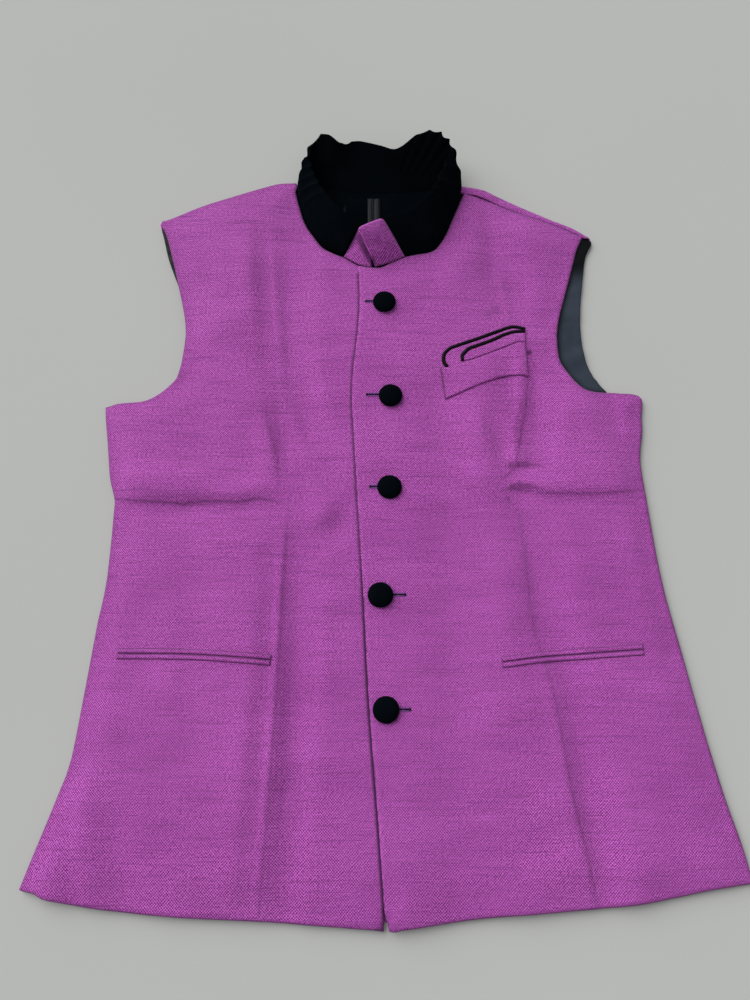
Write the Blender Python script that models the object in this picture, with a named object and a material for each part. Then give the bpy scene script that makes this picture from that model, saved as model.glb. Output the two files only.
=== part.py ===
"""A sleeveless jacket with a stand collar, buttoned up and laid flat on its back.

Lengths are in millimetres, as a tailor writes them, and MM turns them into Blender's metres.
x runs across the jacket to the wearer's left, y from the hem up to the collar and z up from
the surface that the back panel lies on. Left and right are the wearer's.
"""

import math
from collections import namedtuple

import bmesh
import bpy
from mathutils import Vector
from mathutils.bvhtree import BVHTree
from mathutils.geometry import delaunay_2d_cdt

MM = 0.001

# Cloth and layers
CLOTH = 2.0              # jacket cloth with its interlining
LINING = 1.0
GAP = 0.3                # air between pieces that touch
LAP_GAP = 0.7            # air between the two lapped fronts
COLLAR_WALL = 2.6

# Loft of the fronts over the back
EDGE_RISE = 1.6          # height of a front's underside over the back at a free edge
PUFF = 1.9               # further rise inside the edges
PUFF_REACH = 34.0        # width over which it rises
SIDE_REACH = 24.0        # width over which a front comes down to the side seam
CENTRE_RISE = 2.7        # further rise over the lapped centre front
CENTRE_X = -9.0
CENTRE_REACH = 75.0      # half its width
CENTRE_SLOPE = 45.0      # width over which it falls off on either side
LAP_DIP_START = -72.0    # where the right front starts to dip under the left one
LAP_DIP_END = -40.0

CREASE_AT_SIDE = 0.3      # share of a crease's rise that is left at the side seams

# Back panel and what lines it
BACK_SIDE_SETBACK = 2.5  # the back's sides lie this far inside the fronts'
BACK_HEM_SETBACK = 3.0
BACK_CORNER = 4.0        # the hem's points end this far inside the sides
LINING_SETBACK = 2.0     # the lining ends this far inside the armholes
LINING_BELOW_SHOULDER = 4.5
LINING_ARMHOLE_Y = 490.0      # it follows the armholes above this
LINING_FOOT = [(-196, 478), (206, 478)]
FACING_CORNER = 3.0      # the facing and the lining meet this far beside the facing's ends

# Meshing
OUTLINE_STEP = 15.0
SAME_POINT = 1.0         # outline points nearer than this are one point
GRID = 26.0
GRID_ROW = GRID * 0.87   # rows of an even triangular grid
GRID_CLEAR = GRID * 0.6  # a grid point's distance from the crease points
EDGE_CLEAR = GRID * 0.35
CREASE_STEP = 17.0
NEAREST = 6.0            # closest that two points of a panel may lie
LAP_GRID_X = (-44, -23, -2, 24)      # columns of points that both fronts share at the lap
LAP_GRID_Y = 17.0
NECK_LOW_Y = 624.0
FILL_INSIDE = 1          # triangulate within the outline only
MERGE_WITHIN = 1e-5
SHARP_ANGLE = math.radians(50)

# Turn of the back panel over the left shoulder. Its section goes round the wall: a share of
# the way from the shoulder's edge to the seam, then a height over the lining or below the top.
TURN_STEPS = 14
TURN_WALL = 1.6
TURN_SAMPLE = 3.0        # the front's height is taken this far inside the seam
Turn = namedtuple("Turn", "share from_top height")
TURN_SECTION = [
    Turn(0.00, False, 0.0), Turn(0.00, False, 1.4), Turn(0.12, True, -0.9),
    Turn(0.34, True, 0.0), Turn(1.00, True, 0.0), Turn(1.00, True, -TURN_WALL),
    Turn(0.42, True, -TURN_WALL), Turn(0.30, False, 1.3), Turn(0.26, False, 0.0),
]

# Buttons
BUTTON_RADIUS = 11.8
BUTTON_HEIGHT = 7.6
BUTTON_SIDES = 24
BUTTON_REST = 0.8        # share of the radius that rests on the front
BUTTON_RESTS = 12
BUTTON_PROFILE = [(0.78, 0.0), (0.95, 0.1), (1.0, 0.27), (0.96, 0.5), (0.82, 0.74), (0.58, 0.9),
                  (0.3, 0.98)]          # shares of the radius and the height
BUTTON_CENTRES = [(0.0, 581.5), (5.8, 475.5), (4.3, 379.5), (-4.6, 275.5), (0.1, 174.0)]

# Pockets
WELT = 1.6               # stands this much off the front
HIP_LIP = 1.2
LIP_WIDTH = 4.6
LIP_SLIT = 0.6
LIP_STEP = 5.5
PIPING_WIDTH = 3.0
PIPING_THICK = 1.6
SQUARE_CLOTH = 1.0
POCKET_STEP = 10.0       # between the outline points of the pocket pieces
SQUARE_STEP = 8.0
SQUARE_SETBACK = Vector((-0.15, 0.45))     # from the welt's edge to the folded square

# Loop of satin tape at the back of the neck
LOOP_WIDTH = 15.0
LOOP_LENGTH = 58.0
LOOP_X = -10.5
LOOP_TOP_Y = 713.5

# Outline of the jacket as it lies: each edge is a row of (x, y)
HEM_RIGHT = [(-305, 34), (-287, 24), (-237, 15), (-170, 9), (-104, 6), (-38, 1.5), (-8, 0), (-2, 4)]
HEM_LEFT = [(-1, 2), (11, 0), (77, 8), (143, 13), (210, 19), (277, 30.5), (305, 34)]
SIDE_RIGHT = [(-305, 34), (-294, 68), (-282, 106), (-275, 132), (-270, 183), (-264, 254),
              (-260, 291), (-260.5, 369), (-266.5, 389), (-273.5, 430), (-278, 460), (-273, 469)]
SIDE_LEFT = [(305, 34), (295, 84), (282, 149), (270, 218), (258, 291), (252, 369), (250, 410),
             (254.5, 452), (255.5, 469), (252, 476), (245, 479)]
ARMHOLE_RIGHT = [(-273, 469), (-241, 472), (-227, 479), (-211.5, 495), (-206, 518), (-204.5, 540),
                 (-206.5, 564), (-218, 611), (-230, 654), (-239, 684), (-238, 690)]
ARMHOLE_LEFT = [(245, 479), (221, 480), (202, 483.5), (192, 492), (184, 504), (178, 518),
                (177.5, 540), (181, 564), (195, 611), (206, 648), (213, 663)]
BACK_ARMHOLE_RIGHT = [(-271, 468), (-240, 474), (-224, 484), (-209, 500), (-203, 520), (-202, 545),
                      (-211, 592), (-229, 640), (-241, 688)]
BACK_ARMHOLE_LEFT = [(244, 478), (222.5, 481), (212.5, 495), (204, 518), (201.5, 552), (204.5, 587),
                     (212.5, 635), (215.5, 645), (223, 661)]
SHOULDER_RIGHT = [(-238, 690), (-217, 694), (-192, 705), (-136, 725.5), (-114, 732), (-98, 733)]
SHOULDER_LEFT = [(90, 729), (107, 725.5), (144, 705), (185, 684), (206, 674), (222, 662)]
SHOULDER_SEAM_LEFT = [(88, 720), (110.5, 711), (132, 699.5), (158, 688), (190, 675.5), (213, 663)]
NECK_RIGHT = [(-98, 733), (-95.5, 717), (-91, 699), (-85, 680), (-75, 663), (-65.5, 650),
              (-54, 643), (-42.5, 638), (-30.5, 630), (-21, 625.5)]
NECK_LEFT = [(-27, 626.5), (-19, 625), (-10, 624), (-3, 624.5), (8, 630), (23, 637), (36, 640.5),
             (46, 642.5), (53.5, 646), (58, 651), (66.5, 666), (73.5, 684), (80, 700), (88, 720)]
NECK_BACK = [(90, 729), (60, 723), (30, 719), (0, 717), (-35, 719), (-70, 726), (-98, 733)]
FACING_EDGE = [(-119, 726), (-95, 690), (-58, 656), (-10, 643), (40, 654), (78, 690), (103, 721)]
UNDERLAP_EDGE = [(2, 3.5), (14, 6), (14, 300), (14, 622), (2, 623), (-10, 623.5)]
FRONT_EDGE = [(-1, 2), (-4, 45), (-7, 84), (-15, 182), (-20, 272), (-25, 348), (-30, 429),
              (-32.5, 472), (-31, 510), (-27, 550), (-25.5, 585), (-27, 626.5)]

# Packing creases of the fronts: rise, reach on the path's left and right sides, and the path.
# A ridge has a positive rise and a trough a negative one.
Crease = namedtuple("Crease", "rise left right path")
CREASES = [
    (4.2, 13, 24, [(-123, 690), (-119, 646), (-111, 562), (-104, 494), (-98, 445), (-95, 392)]),
    (-1.6, 18, 20, [(-137, 670), (-133, 585), (-128, 527), (-118, 450)]),
    (5.4, 16, 30, [(-94, 356), (-97, 309), (-100, 226), (-105, 183), (-107, 80), (-109, 14)]),
    (4.6, 30, 13, [(-262, 396), (-225, 390), (-177, 386), (-139, 385), (-112, 388)]),
    (-1.8, 15, 15, [(-70, 334), (-54, 344), (-42, 354)]),
    (2.2, 12, 12, [(-90, 358), (-72, 368), (-52, 376)]),
    (3.6, 14, 24, [(104, 700), (115, 646), (120, 585), (130, 556)]),
    (-1.5, 16, 16, [(112, 660), (92, 612), (74, 588)]),
    (3.8, 12, 26, [(127, 490), (127, 450), (124, 415), (117, 390)]),
    (4.6, 14, 26, [(122, 358), (128, 319), (131, 272), (132, 231), (148, 183), (157, 140),
                   (161, 100), (170, 45), (173, 22)]),
    (3.2, 28, 12, [(150, 388), (190, 387), (225, 388), (246, 391)]),
    (2.4, 14, 14, [(62, 382), (86, 376), (106, 358)]),
    (-1.8, 16, 16, [(20, 347), (45, 341), (70, 338)]),
]
HEM_LIFTS = [(-280, 26, 3.0), (-180, 40, 1.0), (120, 42, 2.0), (205, 34, 2.6)]   # x, reach, rise
HEM_LIFT_DEPTH = 60.0

# Breast pocket and the folded square in it
WELT_TOP_EDGE = [(56, 506), (79, 512), (107, 523), (136, 535), (144, 535)]
WELT_LOW_EDGE = [(145, 497), (127, 498), (104, 491), (60, 472)]
SQUARE_BACK_EDGE = [(65, 510), (61.5, 515), (62, 522), (67, 528), (98, 540), (127, 552),
                    (134, 553), (144, 551)]
SQUARE_FRONT_EDGE = [(80.5, 514), (80, 519), (86, 525.5), (108, 534.5), (123, 542), (132, 545),
                     (144, 546)]

# Hip pockets: the slit's middle line, from its outer to its inner end
HIP_SLIT_RIGHT = [(-242, 225), (-172, 222), (-103, 215)]
HIP_SLIT_LEFT = [(104, 215), (143, 220), (176, 222.5), (233, 226.5)]

# The stand collar, from the end of the left front round the back of the neck to the right
# front: a place on the neck seam with the wall's height there, then the middle of the rim
COLLAR = [
    ((23, 640, 7.2), (-1, 666, 36)),
    ((34, 643, 7.0), (12, 669, 37)),
    ((45, 645, 6.8), (26, 674, 38)),
    ((56, 653, 6.4), (41, 687, 38)),
    ((64, 667, 6.0), (54, 706, 38)),
    ((72, 687, 5.8), (63, 728, 38)),
    ((80, 707, 5.8), (70, 748, 37)),
    ((86, 724, 5.6), (70, 762, 37)),
    ((76, 728, 3.2), (55, 771.5, 41)),
    ((54, 723, 2.2), (35, 769, 38)),
    ((28, 719.5, 1.7), (14, 756.5, 31)),
    ((0, 717.5, 1.7), (-4, 762, 30)),
    ((-28, 719, 1.7), (-29, 769, 29)),
    ((-54, 723, 2.0), (-45, 763, 31)),
    ((-76, 729, 3.0), (-60, 768.5, 40)),
    ((-94, 731, 5.2), (-73, 764, 36)),
    ((-93, 711, 5.8), (-80, 750, 34)),
    ((-87, 692, 5.8), (-79, 735, 35)),
    ((-79, 672, 6.0), (-72, 714, 36)),
    ((-69, 657, 6.2), (-60, 694, 36)),
    ((-57, 646, 5.8), (-44, 677, 33)),
    ((-44, 640.5, 5.4), (-25.5, 664.5, 27)),
]
COLLAR_ROW_SPLIT = 4
SEAM_STEP = 6.0
SEAM_SETBACK = 0.3        # further gap from the panels' edges to the collar's wall
COLLAR_LEVELS = 5
COLLAR_BOW = 2.6          # how far the wall bows out between seam and rim
CRINKLE = 1.7             # depth of the soft folds at the sides of the neck
CRINKLE_WAVES = 34
CRINKLE_SIDES = (0.33, 0.70)      # shares of the collar's length where they are deepest
CRINKLE_SPREAD = 0.11

# Ends of the collar in the jacket's cloth: seam and top corners of each
END_LEFT = [((-9.4, 625, 7.2), (-28, 652, 37)), ((7, 630, 7.2), (-14.5, 658.5, 37.5)),
            ((21.9, 638, 7.2), (-1.7, 665.2, 36.3))]
END_RIGHT = [((-12.6, 625, 5.0), (-14, 655, 24)), ((-27, 628.5, 5.0), (-19.5, 660, 25.5)),
             ((-42.9, 639.2, 5.0), (-25.4, 663, 26.3))]
END_BOW = 2.0
END_SPLIT = 5             # columns of faces across an end

# Part's frame
ROOT_NAME = "jacket"


def clear_scene():
    for scene_object in list(bpy.data.objects):
        bpy.data.objects.remove(scene_object, do_unlink=True)


def material(name, colour, roughness, sheen=0.0):
    """A cloth's plain Principled material; colour is linear RGB."""
    made = bpy.data.materials.new(name)
    made.use_nodes = True
    shader = made.node_tree.nodes["Principled BSDF"]
    shader.inputs["Base Color"].default_value = (*colour, 1.0)
    shader.inputs["Roughness"].default_value = roughness
    shader.inputs["Metallic"].default_value = 0.0
    shader.inputs["Sheen Weight"].default_value = sheen
    return made


def ease(value):
    """0 below 0, 1 above 1 and a smooth step between."""
    t = min(max(value, 0.0), 1.0)
    return t * t * (3.0 - 2.0 * t)


def between(a, b, c, d, t):
    """The point at t from b to c on a smooth curve through a, b, c and d."""
    return (
        b * (2 * t**3 - 3 * t**2 + 1) + (c - a) * 0.5 * (t**3 - 2 * t**2 + t)
        + c * (3 * t**2 - 2 * t**3) + (d - b) * 0.5 * (t**3 - t**2)
    )


def curve(points, step=OUTLINE_STEP):
    """Points about a step apart on a smooth curve through the given ones, both ends kept."""
    knots = [Vector(p) for p in points]
    ends = [knots[0] * 2 - knots[1], knots[-1] * 2 - knots[-2]]
    padded = [ends[0], *knots, ends[1]]
    made = [knots[0]]
    for a, b, c, d in zip(padded, padded[1:], padded[2:], padded[3:]):
        count = max(1, round((c - b).length / step))
        made.extend(between(a, b, c, d, i / count) for i in range(1, count + 1))
    return made


def back_along(points, step=OUTLINE_STEP):
    """The same curve, run from its last point to its first."""
    return list(reversed(curve(points, step)))


def loop_of(*edges):
    """One closed outline from edges that follow each other, each a list of points."""
    made = []
    for edge in edges:
        for point in edge:
            if not made or (point - made[-1]).length > SAME_POINT:
                made.append(point)
    if (made[0] - made[-1]).length < SAME_POINT:
        made.pop()
    return made


def nearest_on(path, point):
    """Distance from a path, and the side of it: +1 on the left, -1 on the right."""
    best = (math.inf, 1.0)
    for a, b in zip(path, path[1:]):
        along = b - a
        t = min(max((point - a).dot(along) / along.length_squared, 0.0), 1.0)
        offset = point - (a + along * t)
        if offset.length < best[0]:
            left = along.x * offset.y - along.y * offset.x > 0
            best = (offset.length, 1.0 if left else -1.0)
    return best


def crease_height(creases, point):
    """Sum of the ridges and troughs at a point; each fades out at its reach."""
    total = 0.0
    for crease in creases:
        away, side = nearest_on(crease.path, point)
        reach = crease.left if side > 0 else crease.right
        total += crease.rise * ease(1.0 - away / reach)
    return total


def hem_lift(x, above_hem):
    """How far the hem stands off what it lies on, where it waves."""
    fade = ease(1.0 - above_hem / HEM_LIFT_DEPTH)
    return fade * sum(rise * ease(1.0 - abs(x - at) / reach) for at, reach, rise in HEM_LIFTS)


class JacketForm:
    """Heights of the fronts' outer face over the whole jacket."""

    def __init__(self):
        self.sides = [curve(SIDE_RIGHT), curve(SIDE_LEFT)]
        self.hems = [curve(HEM_RIGHT), curve(HEM_LEFT)]
        others = (ARMHOLE_RIGHT, ARMHOLE_LEFT, SHOULDER_RIGHT, SHOULDER_SEAM_LEFT,
                  NECK_RIGHT, NECK_LEFT)
        self.borders = [*self.sides, *self.hems, *(curve(edge) for edge in others)]
        self.creases = [Crease(*row[:3], curve(row[3], CREASE_STEP)) for row in CREASES]

    def outer_face(self, x, y):
        point = Vector((x, y))
        inside = min(nearest_on(border, point)[0] for border in self.borders)
        from_side = min(nearest_on(side, point)[0] for side in self.sides)
        from_hem = min(nearest_on(hem, point)[0] for hem in self.hems)
        off_side = ease(from_side / SIDE_REACH)
        lifted = EDGE_RISE * off_side + PUFF * ease(inside / PUFF_REACH)
        lifted += CENTRE_RISE * ease((CENTRE_REACH - abs(x - CENTRE_X)) / CENTRE_SLOPE)
        lifted += hem_lift(x, from_hem)
        lifted += crease_height(self.creases, point) * max(off_side, CREASE_AT_SIDE)
        lifted = max(lifted, EDGE_RISE * off_side)
        return CLOTH + GAP + lifted + CLOTH

    def under_lap(self, x, y):
        """The right front's outer face, which dips to pass under the left one."""
        sunk = ease((x - LAP_DIP_START) / (LAP_DIP_END - LAP_DIP_START))
        return self.outer_face(x, y) - sunk * (CLOTH + LAP_GAP)


def panel_points(outline, creases):
    """Points inside an outline: in the lap, along the creases and their flanks, on a grid."""
    border = [*outline, outline[0]]
    made = []

    def add(point, clear):
        if not inside_loop(outline, point) or nearest_on(border, point)[0] < clear:
            return
        if all((point - other).length > NEAREST for other in made):
            made.append(point)

    for x in LAP_GRID_X:
        for j in range(int(NECK_LOW_Y / LAP_GRID_Y)):
            add(Vector((x, (j + 0.5) * LAP_GRID_Y)), NEAREST)
    for crease in creases:
        for a, b in zip(crease.path, crease.path[1:]):
            across = Vector((-(b - a).y, (b - a).x)).normalized()
            for share in (0.0, 0.5, -0.5, 1.0, -1.0):
                reach = crease.left if share > 0 else crease.right
                add(a + across * share * reach, NEAREST)
    low_x = min(p.x for p in outline)
    low_y = min(p.y for p in outline)
    wide = math.ceil((max(p.x for p in outline) - low_x) / GRID)
    tall = math.ceil((max(p.y for p in outline) - low_y) / GRID_ROW)
    for j in range(tall + 1):
        for i in range(wide + 1):
            x = low_x + (i + 0.5 * (j % 2)) * GRID
            candidate = Vector((x, low_y + j * GRID_ROW))
            if all((candidate - other).length > GRID_CLEAR for other in made):
                add(candidate, EDGE_CLEAR)
    return made


def inside_loop(loop, point):
    """Whether a point lies inside a closed outline, by crossings of a ray along x."""
    crossings = 0
    for a, b in zip(loop, [*loop[1:], loop[0]]):
        if (a.y > point.y) != (b.y > point.y):
            if point.x < a.x + (point.y - a.y) / (b.y - a.y) * (b.x - a.x):
                crossings += 1
    return crossings % 2 == 1


def mesh_object(name, points, faces, finish):
    """An object of its own, from points in millimetres and faces that look outwards."""
    mesh = bpy.data.meshes.new(name)
    mesh.from_pydata([Vector(p) * MM for p in points], [], faces)
    mesh.materials.append(finish)
    mesh.shade_smooth()
    mesh.set_sharp_from_angle(angle=SHARP_ANGLE)
    made = bpy.data.objects.new(name, mesh)
    bpy.context.collection.objects.link(made)
    return made


def wall(name, outline, top_at, bottom_at, finish, inner=()):
    """A cloth wall between two height functions, cut to an outline."""
    flat = [*outline, *inner]
    count = len(outline)
    ring = [(i, (i + 1) % count) for i in range(count)]
    points, _, triangles, *_ = delaunay_2d_cdt(flat, ring, [], FILL_INSIDE, MERGE_WITHIN)
    above = [(p.x, p.y, top_at(p.x, p.y)) for p in points]
    below = [(p.x, p.y, bottom_at(p.x, p.y)) for p in points]
    shift = len(points)
    faces = []
    used = {}
    for triangle in triangles:
        a, b, c = (points[i] for i in triangle)
        turned = (b - a).x * (c - a).y - (b - a).y * (c - a).x > 0
        order = list(triangle) if turned else list(reversed(triangle))
        faces.append(order)
        faces.append([i + shift for i in reversed(order)])
        for i, j in zip(order, [*order[1:], order[0]]):
            used[(i, j)] = True
    for i, j in used:
        if (j, i) not in used:
            faces.append([j, i, i + shift, j + shift])
    return mesh_object(name, [*above, *below], faces, finish)


class Seat:
    """Heights of a panel's outer face, for pieces that lie on it."""

    def __init__(self, panel):
        points = [v.co.copy() for v in panel.data.vertices]
        polygons = [tuple(p.vertices) for p in panel.data.polygons]
        self.tree = BVHTree.FromPolygons(points, polygons)

    def height(self, x, y, reach=0.0, lowest=None):
        """The face's highest point within a reach of (x, y), or lowest past its edge."""
        found = [] if lowest is None else [lowest]
        for dx, dy in ((0, 0), (1, 0), (-1, 0), (0, 1), (0, -1)):
            start = Vector((x + dx * reach, y + dy * reach, 200.0)) * MM
            hit = self.tree.ray_cast(start, Vector((0, 0, -1)))[0]
            if hit is not None:
                found.append(hit.z / MM)
        return max(found)


def laid_piece(name, seat, outline, lift, thick, finish, inner=(), reach=2.5):
    """A flat piece that lies on a panel, lifted off it and following its form."""
    def under(x, y):
        return seat.height(x, y, reach) + lift
    return wall(name, outline, lambda x, y: under(x, y) + thick, under, finish, inner)


def strip_between(line, low, high, step):
    """Outline of a strip that runs beside a line, from one offset to another on its left."""
    path = curve(line, step)
    sides = []
    for i, point in enumerate(path):
        before = path[max(i - 1, 0)]
        after = path[min(i + 1, len(path) - 1)]
        along = (after - before).normalized()
        sides.append((point, Vector((-along.y, along.x))))
    near = [point + across * low for point, across in sides]
    far = [point + across * high for point, across in sides]
    return [*near, *reversed(far)]


def lofted_wall(name, seam_rows, thick, bow, finish, levels, crinkle_at=None):
    """A standing wall from rows of (seam, rim) points; it bows outwards between them."""
    columns = []
    for i, (seam, rim) in enumerate(seam_rows):
        before = seam_rows[max(i - 1, 0)]
        after = seam_rows[min(i + 1, len(seam_rows) - 1)]
        along = ((after[0] - before[0]) + (after[1] - before[1])).normalized()
        up = (rim - seam).normalized()
        outward = along.cross(up).normalized()
        column = []
        for level in range(levels + 1):
            t = level / levels
            middle = seam.lerp(rim, t) + outward * bow * math.sin(math.pi * t)
            if crinkle_at is not None:
                middle += outward * crinkle_at(i, t)
            column.append((middle + outward * thick / 2, middle - outward * thick / 2))
        columns.append(column)
    points = []
    index = {}
    for i, column in enumerate(columns):
        for j, pair in enumerate(column):
            for k in (0, 1):
                index[(i, j, k)] = len(points)
                points.append(pair[k])
    faces = []
    last = len(columns) - 1
    for i in range(last):
        for j in range(levels):
            outer = [index[(i, j, 0)], index[(i + 1, j, 0)], index[(i + 1, j + 1, 0)],
                     index[(i, j + 1, 0)]]
            inner = [index[(i, j, 1)], index[(i, j + 1, 1)], index[(i + 1, j + 1, 1)],
                     index[(i + 1, j, 1)]]
            faces.extend([outer, inner])
        faces.append([index[(i, 0, 1)], index[(i + 1, 0, 1)], index[(i + 1, 0, 0)],
                      index[(i, 0, 0)]])
        faces.append([index[(i, levels, 0)], index[(i + 1, levels, 0)],
                      index[(i + 1, levels, 1)], index[(i, levels, 1)]])
    for j in range(levels):
        faces.append([index[(0, j, 0)], index[(0, j + 1, 0)], index[(0, j + 1, 1)],
                      index[(0, j, 1)]])
        faces.append([index[(last, j, 1)], index[(last, j + 1, 1)], index[(last, j + 1, 0)],
                      index[(last, j, 0)]])
    return mesh_object(name, points, faces, finish)


def smooth_rows(rows, per_row):
    """Rows of (seam, rim) on smooth curves through the given ones."""
    made = []
    for i in range(len(rows) - 1):
        a, b = rows[max(i - 1, 0)], rows[i]
        c, d = rows[i + 1], rows[min(i + 2, len(rows) - 1)]
        for step in range(per_row):
            t = step / per_row
            seam, rim = (between(*(Vector(row[k]) for row in (a, b, c, d)), t) for k in (0, 1))
            made.append((seam, rim))
    made.append((Vector(rows[-1][0]), Vector(rows[-1][1])))
    return made


def make_back(cloth, lining, velvet):
    """The back panel, flat on the surface, with the lining that the armholes show and the
    facing that the neck shows."""
    hem = [p + Vector((0, BACK_HEM_SETBACK)) for p in curve(HEM_RIGHT[:-1]) + curve(HEM_LEFT)]
    side_right = [p + Vector((BACK_SIDE_SETBACK, 0)) for p in back_along(SIDE_RIGHT)]
    side_left = [p - Vector((BACK_SIDE_SETBACK, 0)) for p in curve(SIDE_LEFT)]
    corners = (side_right[-1].x + BACK_CORNER, side_left[0].x - BACK_CORNER)
    outline = loop_of(
        [p for p in hem if corners[0] < p.x < corners[1]],
        side_left, curve(BACK_ARMHOLE_LEFT), back_along(SHOULDER_LEFT),
        curve(NECK_BACK), back_along(SHOULDER_RIGHT), back_along(BACK_ARMHOLE_RIGHT), side_right,
    )
    wall("back", outline, lambda x, y: CLOTH, lambda x, y: 0.0, cloth)

    low = CLOTH + GAP
    facing_edge = curve(FACING_EDGE)
    inset = Vector((LINING_SETBACK, 0))
    below = Vector((0, LINING_BELOW_SHOULDER))
    seam_gap = Vector((0, 2 * GAP))
    shoulder_left = [p - inset - below for p in back_along(SHOULDER_LEFT)]
    shoulder_right = [p + inset - below for p in back_along(SHOULDER_RIGHT)]
    armhole_left = [p - inset for p in curve(BACK_ARMHOLE_LEFT)[:-1] if p.y > LINING_ARMHOLE_Y]
    armhole_right = [p + inset for p in curve(BACK_ARMHOLE_RIGHT)[:-1] if p.y > LINING_ARMHOLE_Y]
    edge = loop_of(
        [Vector(p) for p in LINING_FOOT], armhole_left,
        [p for p in shoulder_left if p.x > facing_edge[-1].x + FACING_CORNER],
        [p - seam_gap for p in reversed(facing_edge)],
        [p for p in shoulder_right if p.x < facing_edge[0].x - FACING_CORNER],
        list(reversed(armhole_right)),
    )
    wall("back_lining", edge, lambda x, y: low + LINING, lambda x, y: low, lining)

    facing = loop_of(
        facing_edge,
        [p for p in shoulder_left if p.x < facing_edge[-1].x - FACING_CORNER],
        [p - seam_gap for p in curve(NECK_BACK)][1:-1],
        [p for p in shoulder_right if p.x > facing_edge[0].x + FACING_CORNER],
    )
    wall("back_neck_facing", facing, lambda x, y: low + LINING, lambda x, y: low, velvet)


def make_fronts(cloth):
    """The right front, and the left front that laps over it."""
    form = JacketForm()
    right = loop_of(
        curve(HEM_RIGHT), curve(UNDERLAP_EDGE), back_along(NECK_RIGHT),
        back_along(SHOULDER_RIGHT), back_along(ARMHOLE_RIGHT), back_along(SIDE_RIGHT),
    )
    left = loop_of(
        curve(HEM_LEFT), curve(SIDE_LEFT), curve(ARMHOLE_LEFT),
        back_along(SHOULDER_SEAM_LEFT), back_along(NECK_LEFT), back_along(FRONT_EDGE),
    )
    made = []
    for name, outline, top in (("front_right", right, form.under_lap),
                               ("front_left", left, form.outer_face)):
        inner = panel_points(outline, form.creases)
        made.append(wall(name, outline, top, lambda x, y: top(x, y) - CLOTH, cloth, inner))
    return made


def make_shoulder(cloth, seat):
    """The back panel's turn over the left shoulder, down to its seam with the front."""
    edge = curve(SHOULDER_LEFT)
    seam = curve(SHOULDER_SEAM_LEFT)
    low = CLOTH + GAP
    points = []
    for i in range(TURN_STEPS + 1):
        start = point_along(edge, i / TURN_STEPS)
        end = point_along(seam, i / TURN_STEPS)
        across = end - start
        sample = end + across.normalized() * TURN_SAMPLE
        top = max(seat.height(sample.x, sample.y, TURN_WALL, 0.0), low + CLOTH + LINING)
        reach = across * (1.0 - 2 * GAP / across.length)
        for corner in TURN_SECTION:
            place = start + reach * corner.share
            points.append((place.x, place.y, (top if corner.from_top else low) + corner.height))
    size = len(TURN_SECTION)
    faces = [list(range(size)), [TURN_STEPS * size + j for j in range(size)]]
    for i in range(TURN_STEPS):
        for j in range(size):
            k = (j + 1) % size
            faces.append([i * size + j, i * size + k, (i + 1) * size + k, (i + 1) * size + j])
    made = mesh_object("back_shoulder_left", points, faces, cloth)
    face_outwards(made)


def point_along(path, share):
    """The point at a share of a path's length."""
    total = sum((b - a).length for a, b in zip(path, path[1:]))
    left = share * total
    for a, b in zip(path, path[1:]):
        length = (b - a).length
        if left <= length:
            return a.lerp(b, left / length)
        left -= length
    return path[-1]


def face_outwards(made):
    """Turns every face of a closed body outwards."""
    body = bmesh.new()
    body.from_mesh(made.data)
    bmesh.ops.recalc_face_normals(body, faces=body.faces)
    body.to_mesh(made.data)
    body.free()


def on_neck_seam(rows, thick):
    """Moves the rows' lower points to where the wall just clears the panels' neck edges."""
    edges = [curve(NECK_LEFT, SEAM_STEP), back_along(NECK_BACK, SEAM_STEP),
             curve(NECK_RIGHT, SEAM_STEP)]
    segments = [pair for edge in edges for pair in zip(edge, edge[1:])]
    setback = thick / 2 + GAP + SEAM_SETBACK
    made = []
    for seam, rim in rows:
        place = Vector(seam[:2])
        a, b = min(segments, key=lambda pair: (foot_on(*pair, place) - place).length)
        across = Vector((a.y - b.y, b.x - a.x)).normalized()
        moved = foot_on(a, b, place) + across * setback
        made.append(((moved.x, moved.y, seam[2]), rim))
    return made


def foot_on(a, b, point):
    """The point of the segment from a to b that lies nearest."""
    along = b - a
    return a + along * min(max((point - a).dot(along) / along.length_squared, 0.0), 1.0)


def make_collar(velvet, cloth):
    """The velvet stand collar, leaning back, and its two ends in the jacket's cloth."""
    rows = smooth_rows(on_neck_seam(COLLAR, COLLAR_WALL), COLLAR_ROW_SPLIT)
    count = len(rows) - 1

    def crinkle(i, t):
        share = i / count
        at_sides = sum(ease(1.0 - abs(share - side) / CRINKLE_SPREAD) for side in CRINKLE_SIDES)
        wave = math.sin(CRINKLE_WAVES * math.pi * share + 1.5 * math.sin(9 * share))
        return CRINKLE * at_sides * wave * t * t

    band = lofted_wall("collar", rows, COLLAR_WALL, COLLAR_BOW, velvet, COLLAR_LEVELS, crinkle)
    face_outwards(band)
    for name, table in (("collar_end_left", END_LEFT), ("collar_end_right", END_RIGHT)):
        seamed = smooth_rows(on_neck_seam(table, CLOTH), END_SPLIT)
        end = lofted_wall(name, seamed, CLOTH, END_BOW, cloth, COLLAR_LEVELS)
        face_outwards(end)


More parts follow.
